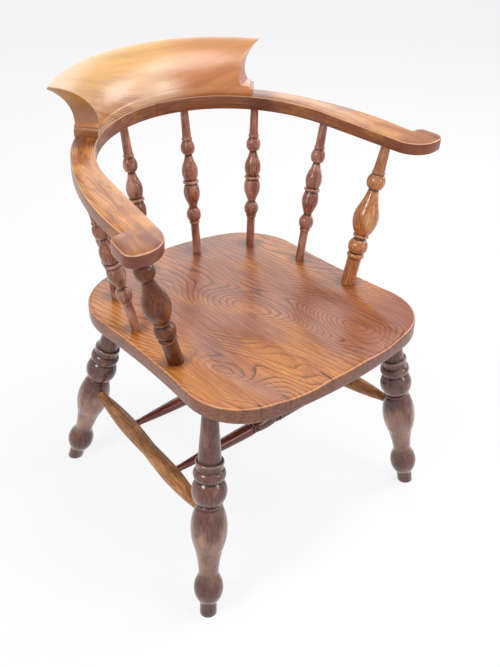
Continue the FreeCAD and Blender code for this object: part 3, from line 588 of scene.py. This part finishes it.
CROSS_TENON_FROM_AXIS = 7
CROSS_TENON = (13, 20)
CROSS_RING = [(20, 0), (20, 3), (25, 20, 5), (20, 3)]
CROSS_BARREL = (27.5, 23, 48)
ring_length = sum(step[-1] for step in CROSS_RING)
turned_half = CROSS_TENON_FROM_AXIS + CROSS_TENON[1] + ring_length + CROSS_BARREL[2] / 2
for which, along in CROSS_PLACES.items():
    end = on_side_stretcher(along)
    taper = end.x - turned_half
    steps = [
        CROSS_TENON, (21.5, 26, taper), *CROSS_RING, (23, 0), CROSS_BARREL,
        *CROSS_RING, (26, 0), (21.5, CROSS_TENON[0], taper), CROSS_TENON,
    ]
    turned_piece(
        f"{which}_cross_stretcher", woods["cross_wood"], 1,
        mirrored(end, -1), end, CROSS_TENON[0], steps, CROSS_TENON_FROM_AXIS,
    )

# %% [markdown]
# ### Spindles and arm supports
# Six slender spindles and two stout arm supports rise from the seat into the underside of the
# bow. The bow is drawn flat about the centre of its back curve and then tilted down to the
# front by 4.6 degrees, so the top of each upright is worked out in the bow's own frame.

# %% The bow's frame
BOW_INNER = 232.7
BOW_OUTER = BOW_INNER + 40.5
BOW_THICKNESS = 28
BOW_FRONT_THICKNESS = 22
BOW_FRONT = -186
BOW_ALONG = -13
BOW_HEIGHT = 733.4
BOW_TILT = math.radians(4.57)
BOW_PLACE = Matrix.Translation((0, BOW_ALONG, BOW_HEIGHT)) @ Matrix.Rotation(BOW_TILT, 4, "X")
ARM_SPLAY = math.radians(8.5)


def polar(radius, degrees):
    """A place of the bow's plan, at an angle from straight back."""
    angle = math.radians(degrees)
    return Vector((radius * math.sin(angle), radius * math.cos(angle), 0))


ARM_START = polar(BOW_INNER, 90 - math.degrees(ARM_SPLAY))
ARM_FORWARD = Vector((math.sin(ARM_SPLAY), -math.cos(ARM_SPLAY), 0))
ARM_OUTWARD = Vector((math.cos(ARM_SPLAY), math.sin(ARM_SPLAY), 0))


def on_arm(reach, across):
    """A place of the bow's plan, so far forward along the arm's inner edge and across it."""
    return ARM_START + ARM_FORWARD * reach + ARM_OUTWARD * across


def thickness_at(along):
    """The bow thins a little towards the front."""
    share = (BOW_OUTER - along) / (BOW_OUTER - BOW_FRONT)
    return BOW_THICKNESS + (BOW_FRONT_THICKNESS - BOW_THICKNESS) * share


def under_bow(place):
    return BOW_PLACE @ (place - UP * thickness_at(place.y))


print("under the bow's back", under_bow(polar(BOW_INNER, 0)))

# %% Uprights
UPRIGHT_SHAFT = 52
IN_SEAT = 20
IN_BOW = 18
ENTRY = 5
# A pattern has the foot's diameter, the steps and the top's diameter
SPINDLE_PATTERN = (16.4, [
    (16.4, 57),
    (20.8, 16.4, 7), (20.8, 0), (28.4, 16.4, 25), (16.4, 4),  # ball
    (27, 13), (32, 24, 30), (31.6, 24, 7), (31.6, 24.5, 31),  # two vases with a ring between
    (17.4, 13.6, 19),  # throat
    (21.4, 0), (27.4, 17.6, 24), (20.6, 17.6, 6),  # upper ball and its collar
], 15)
SPINDLES = {
    "outer": (Vector((196, 34, SEAT_HEIGHT)), under_bow(polar(BOW_INNER + 32, 78))),
    "middle": (Vector((163.5, 148, SEAT_HEIGHT)), under_bow(polar(BOW_INNER + 19.5, 47.2))),
    "inner": (Vector((60, 192, SEAT_HEIGHT)), under_bow(polar(BOW_INNER + 16, 15.9))),
}
SUPPORT_PATTERN = (26.8, [
    (26.8, 49),
    (28, 0), (33, 28, 9),  # ring
    (26, 0), (37.5, 22.5, 27), (22.5, 3), (30.5, 22.5, 6),  # ball and its collar
    (27, 0), (47, 39, 50), (26.5, 18.6, 36),  # vase and throat
    (26, 0), (34.5, 22, 26), (25, 22, 5),  # upper ball and its ring
], 16.8)
SUPPORT = (Vector((203.5, -93, SEAT_HEIGHT)), under_bow(on_arm(128, 25)))
# The left arm support gets the darker copy of the stain as painted shade
SUPPORT_WOODS = {"right": woods["support_wood"], "left": woods["dark_support_wood"]}


def upright(node, wood, side, low, high, foot, steps, top):
    """An upright whose pattern is stretched to reach from the seat to the bow."""
    stretch = (high - low).length / (UPRIGHT_SHAFT + sum(step[-1] for step in steps))
    steps = [(*step[:-1], step[-1] * stretch) for step in steps]
    shaft = UPRIGHT_SHAFT * stretch
    steps = [(foot, IN_SEAT), *steps, (top, shaft - ENTRY), (top, IN_BOW + ENTRY)]
    turned_piece(node, wood, side, low, high, foot, steps, -IN_SEAT)


for hand, side in HANDS:
    for which, ends in SPINDLES.items():
        wood = woods["spindle_wood"]
        upright(f"{hand}_{which}_spindle", wood, side, *ends, *SPINDLE_PATTERN)
    upright(f"{hand}_arm_support", SUPPORT_WOODS[hand], side, *SUPPORT, *SUPPORT_PATTERN)

# %% [markdown]
# ## The seat
# The seat is one elm board. A dish and two thigh hollows lower its top. Sculpting could make
# them too, but a formula keeps both thighs equal and the border even. The outline is read
# from the construction model, where the lower round-over of the rim begins.

# %% Seat outline and hollows
SEAT_MIDDLE = Vector((0, -30, 0))
SEAT_SIDES = 240
RIM_BOTTOM_ROUND = 7
RIM_TOP_ROUND = 5
DISH = (0, -75, 190, 250, 7)
THIGHS = [(side * 92, -160, 84, 190, 8.8) for side in (1, -1)]


def bowl(x, y, out, along, half_width, half_length, depth):
    """How deep a hollow with a soft rim is at a place."""
    share = 1 - ((x - out) / half_width) ** 2 - ((y - along) / half_length) ** 2
    share = max(0, share)
    return depth * share * share * (3 - 2 * share)


def seat_top(x, y):
    """The height of the seat's upper face, with its hollows run together smoothly."""
    depths = [bowl(x, y, *shape) for shape in (DISH, *THIGHS)]
    return SEAT_HEIGHT - sum(depth ** 5 for depth in depths) ** 0.2


def outline_from_above(node, height, sides):
    """The outline of a node at a height, as one place in each direction from the middle."""
    corners = []
    for corner in bpy.data.objects[node].data.vertices:
        spot = corner.co / MM
        if abs(spot.z - height) < 0.05:
            spot = (spot - SEAT_MIDDLE).to_2d()
            corners.append((math.atan2(spot.y, spot.x), spot))
    corners.sort(key=lambda corner: corner[0])
    first, last = corners[0], corners[-1]
    corners = [(last[0] - math.tau, last[1]), *corners, (first[0] + math.tau, first[1])]
    outline = []
    for side in range(sides):
        angle = math.tau * (side + 0.5) / sides - math.pi
        toward = Vector((math.cos(angle), math.sin(angle)))
        number = next(n for n, corner in enumerate(corners) if corner[0] > angle)
        before, after = corners[number - 1][1], corners[number][1]
        run = after - before
        reach = before.cross(run) / toward.cross(run)
        outline.append(SEAT_MIDDLE + (toward * reach).to_3d())
    return outline


outline = outline_from_above("seat", UNDER_SEAT + RIM_BOTTOM_ROUND, SEAT_SIDES)
inward = []
for before, after in zip([outline[-1], *outline[:-1]], [*outline[1:], outline[0]]):
    run = (after - before).normalized()
    inward.append(Vector((-run.y, run.x, 0)))
print("seat outline places", len(outline), "deepest", round(seat_top(92, -150), 1))

# %% [markdown]
# ### The seat board
# A circle is drawn out to the outline, its edge is extruded up round the two rims, and rings
# run in to the middle of the top, close together at the rim, where the hollows run out.

# %% Seat board
# Five steps round a quarter circle
QUARTER = [(1 - math.cos(turn), 1 - math.sin(turn))
           for turn in (math.radians(18 * step) for step in range(1, 6))]
BORDER_INSETS = (9, 14, 20, 27, 35, 44, 54, 64)
INNER_RINGS = 24


def ring_edges(ring):
    return [
        next(edge for edge in before.link_edges if edge.other_vert(before) is after)
        for before, after in zip(ring, [*ring[1:], ring[0]])
    ]


def next_ring(bm, ring):
    """Extrude a closed ring of vertices and return the new ring in the same order."""
    grown = bmesh.ops.extrude_edge_only(bm, edges=ring_edges(ring))["geom"]
    fresh = {part for part in grown if isinstance(part, bmesh.types.BMVert)}
    return [
        next(edge.other_vert(vertex) for edge in vertex.link_edges
             if edge.other_vert(vertex) in fresh)
        for vertex in ring
    ]


def set_ring(ring, inset, height=None, drop=0.0):
    """Lay a ring at an inset from the outline, at a height or at a drop below the top."""
    for vertex, place, turn in zip(ring, outline, inward):
        spot = place + turn * inset
        level = seat_top(spot.x, spot.y) - drop if height is None else height
        vertex.co = (spot.x, spot.y, level)
    return ring


bm = bmesh.new()
ring = bmesh.ops.create_circle(bm, segments=SEAT_SIDES, radius=200)["verts"]
set_ring(ring, RIM_BOTTOM_ROUND, height=UNDER_SEAT)
bmesh.ops.edgeloop_fill(bm, edges=bm.edges[:])
for rise, inset in QUARTER:
    level = UNDER_SEAT + RIM_BOTTOM_ROUND * rise
    ring = set_ring(next_ring(bm, ring), RIM_BOTTOM_ROUND * inset, height=level)
ring = set_ring(next_ring(bm, ring), 0, drop=RIM_TOP_ROUND)
for inset, drop in QUARTER:
    ring = set_ring(next_ring(bm, ring), RIM_TOP_ROUND * inset, drop=RIM_TOP_ROUND * drop)
for inset in BORDER_INSETS:
    ring = set_ring(next_ring(bm, ring), inset)
border = [vertex.co.copy() for vertex in ring]
for step in range(1, INNER_RINGS):
    ring = next_ring(bm, ring)
    for vertex, place in zip(ring, border):
        spot = place.lerp(SEAT_MIDDLE, step / INNER_RINGS)
        vertex.co = (spot.x, spot.y, seat_top(spot.x, spot.y))
ring = next_ring(bm, ring)
peak = (SEAT_MIDDLE.x, SEAT_MIDDLE.y, seat_top(SEAT_MIDDLE.x, SEAT_MIDDLE.y))
bmesh.ops.pointmerge(bm, verts=ring, merge_co=peak)
remember_grain(bm, (0, 0, 0), lambda place: place.xzy)
print("seat board faces", len(bm.faces))

# %% [markdown]
# ### Elm
# Elm has wild, wavy growth layers. Cut flat, they show as thin dark lines that wander along
# the board and close to long ovals where the layers come up. The lines here are the level
# lines of a slope across the board plus a slow noise, and each oval is an eye that lifts the
# layers. Between the lines a finer, broken set gives elm its feathered figure.

# %% Elm figure
# Each eye: its place out and back, its half width and length in metres, and its rise
EYES = [(0.005, -0.066, 0.055, 0.15, 10.0), (0.125, -0.205, 0.05, 0.1, -9.0),
        (-0.165, -0.17, 0.05, 0.08, 9.0)]
EYE_TURN = 0.42
LAYERS_PER_METRE = 84.0


def elm_layers(recipe, grain):
    """The count of growth layers across the board: it bends, wanders, and rises in eyes."""
    across, _, along = recipe.parts(grain)
    swept = recipe.scaled(along, 0.14, across)
    swept = recipe.scaled(recipe.fade(along, 0.03, -0.2), -0.09, swept)
    count = recipe.scaled(swept, LAYERS_PER_METRE)
    slow = recipe.streaks(grain, 0.4, 9.0, 1.5, 0.4, 0.2)
    layers = recipe.scaled(slow, 9.0, count)
    for out, back, half_width, half_length, rise in EYES:
        offset = recipe.vector("SUBTRACT", grain, (out, 0, back))[0]
        turned = recipe.add("VectorRotate", {"Vector": offset, "Angle": EYE_TURN},
                            rotation_type="Y_AXIS").outputs[0]
        spread = recipe.stretched(turned, (1 / half_width, 0, 1 / half_length))
        reach = recipe.vector("LENGTH", spread)["Value"]
        layers = recipe.scaled(recipe.fade(reach, 1.5, 0.0), rise, layers)
    quick = recipe.streaks(grain, 0.5, 40, 2, 0.5)
    return recipe.scaled(quick, 0.9, layers)


def elm_lines(recipe, grain):
    """The thin dark line of each layer, and the finer broken set between the lines."""
    ragged = recipe.streaks(grain, 0.4, 420, 2, 0.6)
    layers = recipe.scaled(ragged, 0.16, elm_layers(recipe, grain))
    line = recipe.ramp(recipe.math("FRACT", layers), [
        (0.0, grey(0.9)), (0.04, grey(1)), (0.12, grey(0.5)), (0.3, grey(0.12)),
        (0.6, grey(0)), (0.92, grey(0)), (1.0, grey(0.9))])
    strength = recipe.fade(recipe.streaks(grain, 0.6, 14, 2, 0.5), 0.36, 0.6)
    line = recipe.scaled(line, recipe.scaled(strength, 0.5, 0.42))
    comb = recipe.scaled(ragged, 1.6, recipe.scaled(layers, 3.0))
    return line, recipe.fade(recipe.math("FRACT", comb), 0.5, 1.0)


print("layers across the seat", round(LAYERS_PER_METRE * 0.5))

# %% [markdown]
# ### The seat's finish
# The board is brown and golden in clouds, more golden at its left edge. Use has left its marks:
# three fine splits that run in from the front rim. A dark ring round the foot of each upright
# is painted shadow and dirt, the sides are made darker, and a pale band along the arris is a
# painted highlight.

# %% Seat finish
UPRIGHT_FEET = [low for low, _ in SPINDLES.values()] + [SUPPORT[0]]
RIM_SPLITS = (-0.176, -0.127, -0.04)


# A dark ring round the foot of each upright: painted shadow and dirt
def shadow_and_soil_round_feet(recipe, place):
    shadow_and_soil = 0.0
    for foot in UPRIGHT_FEET:
        for side in (1, -1):
            gap = recipe.vector("DISTANCE", place, mirrored(foot, side) * MM)["Value"]
            shadow_and_soil = recipe.math("MAXIMUM", shadow_and_soil, recipe.fade(gap, 0.032, 0.014))
    return shadow_and_soil


def rim_splits(recipe, place):
    out, back, _ = recipe.parts(place)
    split = 0.0
    for spot in RIM_SPLITS:
        gap = recipe.gap(out, spot)
        split = recipe.math("MAXIMUM", split, recipe.fade(gap, 0.0022, 0.0012))
    return recipe.scaled(split, recipe.fade(back, -0.262, -0.27))


def elm(name):
    recipe = new_material(name)
    grain = recipe.remembered("grain")
    place = recipe.place()
    line, comb = elm_lines(recipe, grain)
    streak = fibres(recipe, grain, 0.9)
    tone = recipe.streaks(grain, 0.6, 8, 3, 0.55)
    light = recipe.fade(streak, 0.45, 1.05)
    brown = recipe.blend(light, linear(128, 70, 48), linear(178, 108, 70))
    gold = recipe.blend(light, linear(170, 98, 44), linear(214, 140, 66))
    out = recipe.parts(place)[0]
    edge_gold = recipe.fade(recipe.scaled(tone, -0.14, out), -0.19, -0.29)
    golden = recipe.math("MAXIMUM", recipe.fade(tone, 0.47, 0.68), edge_gold)
    colour = recipe.blend(golden, brown, gold)
    colour = recipe.stain(colour, comb, 0.16, linear(112, 58, 36))
    colour = recipe.blend(line, colour, linear(62, 33, 28))
    # Painted shadow and dirt round the feet of the uprights
    colour = recipe.stain(colour, shadow_and_soil_round_feet(recipe, place), 0.55, linear(74, 28, 12))
    colour = recipe.stain(colour, rim_splits(recipe, place), 0.85, linear(40, 20, 16))
    # The sides are made darker
    up = recipe.parts(recipe.normal())[2]
    light = recipe.fade(streak, 0.4, 1.05)
    edge = recipe.blend(light, linear(92, 56, 46), linear(128, 86, 72))
    colour = recipe.stain(colour, recipe.fade(up, 0.7, 0.2), 0.85, edge)
    # A pale band along the rounded arris: a painted highlight
    arris_wear_and_highlight = recipe.scaled(recipe.fade(up, 0.45, 0.75), recipe.fade(up, 0.97, 0.85))
    colour = recipe.stain(colour, arris_wear_and_highlight, 0.5, linear(222, 168, 140))
    dull = recipe.scaled(tone, 0.24, 0.26)
    relief = recipe.scaled(line, -0.8, streak)
    return polish(recipe, colour, dull, relief, 0.4, 0.24)


hand_in(bm, "shaped_seat", "seat", elm("seat_elm"))

# %% [markdown]
# ## The arm bow
# Two halves of a board, butted at the middle of the back, make the horseshoe of the arms. Each
# ends in a flat, rounded paddle in front of a small notch. The outline is laid out flat, its
# four corners are rounded, and it is extruded down to a lower face that rises towards the front.
# The top is inset in steps that make a slight crown, as a spokeshave leaves it.

# %% Bow form
FLANK = 60
ARM_WIDTH = 53.7
NOTCH_REACH = 159
INNER_ROUND, OUTER_ROUND, REAR_ROUND, NOTCH_ROUND = 48, 18, 16, 4
BOW_RIM_ROUND = 4.5
BOW_RIM_SHARP = math.radians(50)
JOINT_ROUND = 0.4
CROWN_STEPS = ((3, 0.5), (4, 0.4), (5, 0.2))


def smooth_middle(start, heading, end):
    """The middle of the arc that leaves one place in a direction and ends at another."""
    chord = end - start
    bend = heading.angle(chord)
    side = (heading - chord * (heading.dot(chord) / chord.length_squared)).normalized()
    return start + chord / 2 + side * (chord.length / 2 * math.tan(bend / 2))


def bow_outline(end, width):
    """The plan of a half of the bow, laid out on the right, from the middle of its back."""
    flank, notch = polar(BOW_OUTER, FLANK), on_arm(NOTCH_REACH, ARM_WIDTH)
    swing = smooth_middle(flank, polar(1, FLANK + 90), notch)
    outline = [(0, BOW_OUTER)]
    outline += arc(outline[0], polar(BOW_OUTER, FLANK / 2).xy, flank.xy, 16)
    outline += arc(flank.xy, swing.xy, notch.xy, 22)
    for reach, across in ((NOTCH_REACH, width), (end, width), (end, 0), (0, 0)):
        outline.append(tuple(on_arm(reach, across).xy))
    outline += arc(outline[-1], polar(BOW_INNER, 45).xy, (0, BOW_INNER), 26)
    return outline


def along_the_bow(place):
    """Where a place lies in the bow's board, if the grain followed the bow."""
    reach = (place - ARM_START).dot(ARM_FORWARD)
    bend = math.radians(90) - ARM_SPLAY
    if reach > 0:
        across = BOW_INNER + (place - ARM_START).dot(ARM_OUTWARD)
        return Vector((across, place.z, BOW_INNER * bend + reach))
    angle = math.atan2(place.x, place.y)
    return Vector((math.hypot(place.x, place.y), place.z, BOW_INNER * angle))


def at_joint(edge):
    return all(abs(vertex.co.x) < 1e-3 for vertex in edge.verts)


def bow_half(side, end, width):
    bm = bmesh.new()
    wire(bm, [(*place, 0) for place in bow_outline(end, width)])
    bmesh.ops.edgeloop_fill(bm, edges=bm.edges[:])
    for reach, across, radius in (
        (end, 0, INNER_ROUND), (end, width, OUTER_ROUND),
        (NOTCH_REACH, width, REAR_ROUND), (NOTCH_REACH, ARM_WIDTH, NOTCH_ROUND),
    ):
        place = on_arm(reach, across)
        corner = min(bm.verts, key=lambda vertex: (vertex.co - place).length)
        bmesh.ops.bevel(bm, geom=[corner], offset=radius, offset_type="OFFSET", segments=10,
                        profile=0.5, affect="VERTICES", material=-1)
    lower = bmesh.ops.extrude_face_region(bm, geom=bm.faces[:])["geom"]
    for vertex in (part for part in lower if isinstance(part, bmesh.types.BMVert)):
        vertex.co.z = -thickness_at(vertex.co.y)
    bmesh.ops.recalc_face_normals(bm, faces=bm.faces)
    rims = [edge for edge in sharp_edges(bm, BOW_RIM_SHARP) if not at_joint(edge)]
    soften(bm, rims, BOW_RIM_ROUND, 5)
    soften(bm, [edge for edge in bm.edges if at_joint(edge)], JOINT_ROUND, 1)
    top = max(bm.faces, key=lambda face: face.calc_area() * (face.normal.z > 0.9))
    for inset, rise in CROWN_STEPS:
        bmesh.ops.inset_region(bm, faces=[top], thickness=inset, depth=rise, use_even_offset=True)
    remember_grain(bm, (0.3 * side, 0.2, 0), along_the_bow)
    if side < 0:
        bmesh.ops.scale(bm, vec=(-1, 1, 1), verts=bm.verts)
    bmesh.ops.transform(bm, matrix=BOW_PLACE, verts=bm.verts)
    return bm


print("thickness of the bow at the notch:", thickness_at(on_arm(NOTCH_REACH, 0).y))

# %% [markdown]
# ### The bow's finish
# The bow and the crest rail are of one honey-coloured wood, with fine growth lines in broader
# dark bands. The grain is laid along the curve of the bow. Hands have darkened the paddles and
# the tops over the outer spindles, the sides keep an old red-brown stain with amber patches,
# and the arris between them is rubbed pale and carries a painted highlight.


# %% Bow wood
def shown_wood(name, pale, middle, dark, figure, wander):
    """The wood of the bow and crest: fine lines, dark bands and slow clouds in a honey ground."""
    recipe = new_material(name)
    grain = recipe.remembered("grain")
    streak = fibres(recipe, grain, 1.6)
    cloud = recipe.streaks(grain, 0.5, 13, 4, 0.6)
    wave = recipe.streaks(grain, 0.4, 8, 3, 0.5)
    slope = recipe.vector("DOT_PRODUCT", grain, figure)["Value"]
    layers = recipe.scaled(wave, wander, slope)
    slow = recipe.vector("DOT_PRODUCT", grain, (6, 6, 6))["Value"]
    bands = recipe.add("CombineXYZ", {0: recipe.scaled(layers, 0.22), 1: slow})
    bands = recipe.noise(bands.outputs[0], 1.0, 3, 0.6)
    layer = recipe.math("FRACT", recipe.scaled(streak, 0.35, layers))
    layer = recipe.ramp(layer, [(0.0, grey(1)), (0.3, grey(0.3)), (0.75, grey(0)), (1.0, grey(1))])
    colour = recipe.blend(recipe.fade(streak, 0.4, 1.1), middle, pale)
    colour = recipe.stain(colour, recipe.fade(bands, 0.42, 0.68), 0.75, dark)
    seen = recipe.scaled(recipe.fade(cloud, 0.35, 0.6), 0.45, 0.32)
    colour = recipe.stain(colour, layer, seen, dark)
    return recipe, grain, colour, streak, cloud


def bow_wood(name):
    recipe, grain, colour, streak, tone = shown_wood(
        name, linear(222, 154, 78), linear(200, 126, 58), linear(112, 56, 26), (240, 90, 6), 8.0)
    up = recipe.parts(recipe.normal())[2]
    reach = recipe.parts(grain)[2]
    light = recipe.fade(streak, 0.4, 1.0)
    old_stain = recipe.blend(light, linear(66, 30, 20), linear(132, 74, 48))
    amber = recipe.fade(recipe.streaks(grain, 0.5, 26, 3, 0.6), 0.5, 0.66)
    old_stain = recipe.stain(old_stain, amber, 0.55, linear(176, 112, 48))
    colour = recipe.stain(colour, recipe.fade(up, 0.62, 0.2), 0.88, old_stain)
    patch = recipe.streaks(grain, 0.5, 34, 4, 0.65)
    colour = recipe.stain(colour, recipe.fade(patch, 0.48, 0.64), 0.6, linear(128, 66, 34))
    paddle = recipe.fade(recipe.scaled(patch, 0.1, reach), 0.52, 0.56)
    paddle = recipe.scaled(paddle, recipe.fade(patch, 0.68, 0.42))
    colour = recipe.stain(colour, paddle, 0.8, linear(112, 52, 36))
    near = recipe.gap(reach, 0.205)
    flank = recipe.fade(recipe.scaled(patch, 0.1, near), 0.09, 0.04)
    colour = recipe.stain(colour, flank, 0.85, linear(88, 42, 24))
    # The arris is rubbed pale and carries a painted highlight
    arris_wear_and_highlight = recipe.scaled(recipe.fade(up, 0.3, 0.6), recipe.fade(up, 0.97, 0.75))
    colour = recipe.stain(colour, arris_wear_and_highlight, 0.55, linear(228, 186, 156))
    dull = recipe.scaled(tone, 0.25, 0.28)
    return polish(recipe, colour, dull, streak, 0.45, 0.2)


PADDLES = {"right": (212, 76.5), "left": (222.8, 74.93)}
honey = bow_wood("bow_wood")
for hand, side in HANDS:
    node = f"{hand}_bow_half"
    hand_in(bow_half(side, *PADDLES[hand]), f"shaped_{node}", node, honey)

# %% [markdown]
# ## The crest rail
# The comb on top of the bow is sawn from a thick block: its front is hollow and rolls back to
# a thin upper edge, and both ends are scooped and stand on a small stepped foot. First its
# section is laid out as rows, each with a radius from the bow's centre and a height.

# %% Crest section
CREST_FOOT = 13.5
CREST_STEP = 4.5
CREST_TOP = 84
FRONT_TOP = (BOW_INNER + 76.5, CREST_TOP)
BACK_TOP = (FRONT_TOP[0] + 4, CREST_TOP - 5.5)
FRONT_ROLL, BACK_ROLL = 14.5, 7.5
FOOT_CHAMFER = (0.8, 1.2)
STEP_GAP = 0.6
FACE_ROWS = 14


def rolled(low, high, roll):
    """An arc between two places that bellies out to the left by the roll."""
    low, high = Vector(low), Vector(high)
    run = (high - low).normalized()
    middle = (low + high) / 2 + Vector((-run.y, run.x)) * roll
    return [tuple(low), *arc(low, middle, high, 40)]


def face_rows(foot_radius, inward, face):
    """A face of the section from its foot to its top, as places (radius, height)."""
    step = CREST_FOOT + CREST_STEP
    low, top = step + STEP_GAP, face[-1][1]
    heights = [CREST_FOOT + FOOT_CHAMFER[1], step - STEP_GAP]
    heights += [low + (top - low) * row / FACE_ROWS for row in range(FACE_ROWS + 1)]
    foot = [(foot_radius + inward * FOOT_CHAMFER[0], 0.0), (foot_radius, FOOT_CHAMFER[1]),
            (foot_radius, CREST_FOOT)]
    return foot + [(at_height(face, height), height) for height in heights]


front = rolled((BOW_INNER + 1, CREST_FOOT + 1), FRONT_TOP, FRONT_ROLL)
back = rolled((BOW_OUTER, CREST_FOOT + 1), BACK_TOP, BACK_ROLL)
front_face = face_rows(BOW_INNER, 1, front)
back_face = face_rows(BOW_OUTER, -1, back)
print("crest section rows", len(front_face) + len(back_face))

# %% [markdown]
# ### The scooped ends
# The section is spun round the bow's centre, and each row of it is then drawn out to where its
# own height meets the scoop. Bridging the front and the back outline closes the ends with the
# ruled surface that a bandsaw leaves.

# %% Crest form
FOOT_TURN = math.radians(46)
STEP_WIDTH = 5
SCOOP_TURN = math.radians(58)
SCOOP = [(68.5, CREST_FOOT + CREST_STEP), (77.5, 51), (60.5, CREST_TOP)]
SCOOP_ROWS = [SCOOP[0], *arc(*SCOOP, 24)]
CREST_SHARP = math.radians(48)


def crest_end(radius, height):
    """The angle from straight back at which a row of the crest ends."""
    if height < CREST_FOOT + 0.1:
        return FOOT_TURN
    if height < CREST_FOOT + CREST_STEP - 0.5:
        return FOOT_TURN - math.asin(STEP_WIDTH / radius)
    return SCOOP_TURN - math.asin(at_height(SCOOP_ROWS, height) / radius)


def from_axis(vertex):
    """The place of a vertex in the section."""
    return math.hypot(vertex.co.x, vertex.co.y), vertex.co.z


def row_edges(rim, face):
    """The part of an end's outline that runs up the front or the back face."""
    def on_face(vertex):
        return min(math.dist(from_axis(vertex), row) for row in face) < 0.01

    return [edge for edge in rim if all(on_face(vertex) for vertex in edge.verts)]


bm = bmesh.new()
section = front_face + back_face[::-1]
wire(bm, [(radius * math.sin(-1), radius * math.cos(-1), height) for radius, height in section])
spin(bm, -UP, 2, 72, joined=False)
for vertex in bm.verts:
    radius, height = from_axis(vertex)
    angle = math.atan2(vertex.co.x, vertex.co.y) * crest_end(radius, height)
    vertex.co = (radius * math.sin(angle), radius * math.cos(angle), height)
for side in (1, -1):
    rim = [edge for edge in bm.edges if edge.is_boundary and edge.verts[0].co.x * side > 0]
    bmesh.ops.bridge_loops(bm, edges=row_edges(rim, front_face) + row_edges(rim, back_face))
bmesh.ops.recalc_face_normals(bm, faces=bm.faces)
print("open edges of the crest", sum(edge.is_boundary for edge in bm.edges))
soften(bm, [edge for edge in sharp_edges(bm, CREST_SHARP) if edge.calc_length() > 1.5], 0.9, 3)
remember_grain(bm, (0.1, 0.4, 0.2), lambda place: place.yzx)
bmesh.ops.transform(bm, matrix=BOW_PLACE, verts=bm.verts)

# %% [markdown]
# ### The crest rail's finish
# The comb shares the bow's wood, with a golden band along the upper edge, redder wood to the
# right, greener to the left, and a pale patch at the middle that is a painted highlight. The
# sawn ends are end grain and take the stain darkest. A thick wax gives the broad soft sheen.


# %% Crest wood
def crest_wood(name):
    recipe, grain, colour, streak, tone = shown_wood(
        name, linear(216, 160, 92), linear(198, 132, 70), linear(126, 60, 24), (230, 190, 14), 5.0)
    from_centre = recipe.vector("ADD", recipe.place(), (0, -BOW_ALONG * MM, 0))[0]
    radial = recipe.stretched(from_centre, (1, 1, 0))
    tangent = recipe.vector("CROSS_PRODUCT", radial, (0, 0, 1))[0]
    tangent = recipe.vector("NORMALIZE", tangent)[0]
    facing = recipe.vector("DOT_PRODUCT", tangent, recipe.normal())["Value"]
    end = recipe.fade(recipe.math("ABSOLUTE", facing), 0.45, 0.7)
    colour = recipe.stain(colour, end, 0.85, linear(110, 52, 30))
    _, height, out = recipe.parts(grain)
    band = recipe.fade(recipe.scaled(tone, 0.03, height), 0.455, 0.482)
    colour = recipe.stain(colour, band, 0.55, linear(230, 178, 96))
    right = recipe.scaled(tone, 0.16, out)
    right = recipe.math("SUBTRACT", right, recipe.scaled(height, 0.8))
    colour = recipe.stain(colour, recipe.fade(right, -0.1, 0.05), 0.65, linear(178, 98, 38))
    colour = recipe.stain(colour, recipe.fade(out, 0.14, -0.04), 0.55, linear(152, 98, 44))
    # A pale patch at the middle of the crest: a painted highlight
    from_middle = recipe.scaled(tone, 0.05, recipe.gap(out, 0.2))
    low = recipe.fade(height, 0.47, 0.45)
    rubbed_and_highlight = recipe.scaled(recipe.fade(from_middle, 0.12, 0.03), low)
    colour = recipe.stain(colour, rubbed_and_highlight, 0.42, linear(238, 204, 168))
    recipe.join(recipe.surface, {"Coat IOR": 1.7})
    return polish(recipe, colour, recipe.scaled(tone, 0.24, 0.3), streak, 1.0, 0.27)


hand_in(bm, "shaped_crest_rail", "crest_rail", crest_wood("crest_wood"))

# %% [markdown]
# ## Hidden fastenings
# Four steel screws hold the crest rail from below and two dowels hold the bow's joint. Their
# construction meshes are right as they are, and only get a finish of their own.

# %% Fastenings
recipe = new_material("screw_steel")
scratches = recipe.streaks(recipe.place(), 0.1, 900, 3, 0.6)
steel = recipe.ramp(scratches, [(0.3, linear(92, 88, 84)), (0.7, linear(150, 146, 140))])
dull = recipe.scaled(scratches, 0.25, 0.3)
recipe.join(recipe.surface, {"Metallic": 1, "Base Color": steel, "Roughness": dull})
screw_steel = recipe.owner

recipe = new_material("dowel_wood")
streak = recipe.noise(recipe.stretched(recipe.place(), (0.05, 1, 1)), 500, 3, 0.6)
tint = recipe.ramp(streak, [(0.35, linear(176, 138, 96)), (0.7, linear(214, 180, 134))])
dowel_wood = polish(recipe, tint, recipe.scaled(streak, 0.2, 0.45), streak, 0)
for node, material in (("crest_screws", screw_steel), ("bow_joint_dowels", dowel_wood)):
    for slot in bpy.data.objects[node].material_slots:
        slot.material = material
print("fastenings:", screw_steel.name, dowel_wood.name)
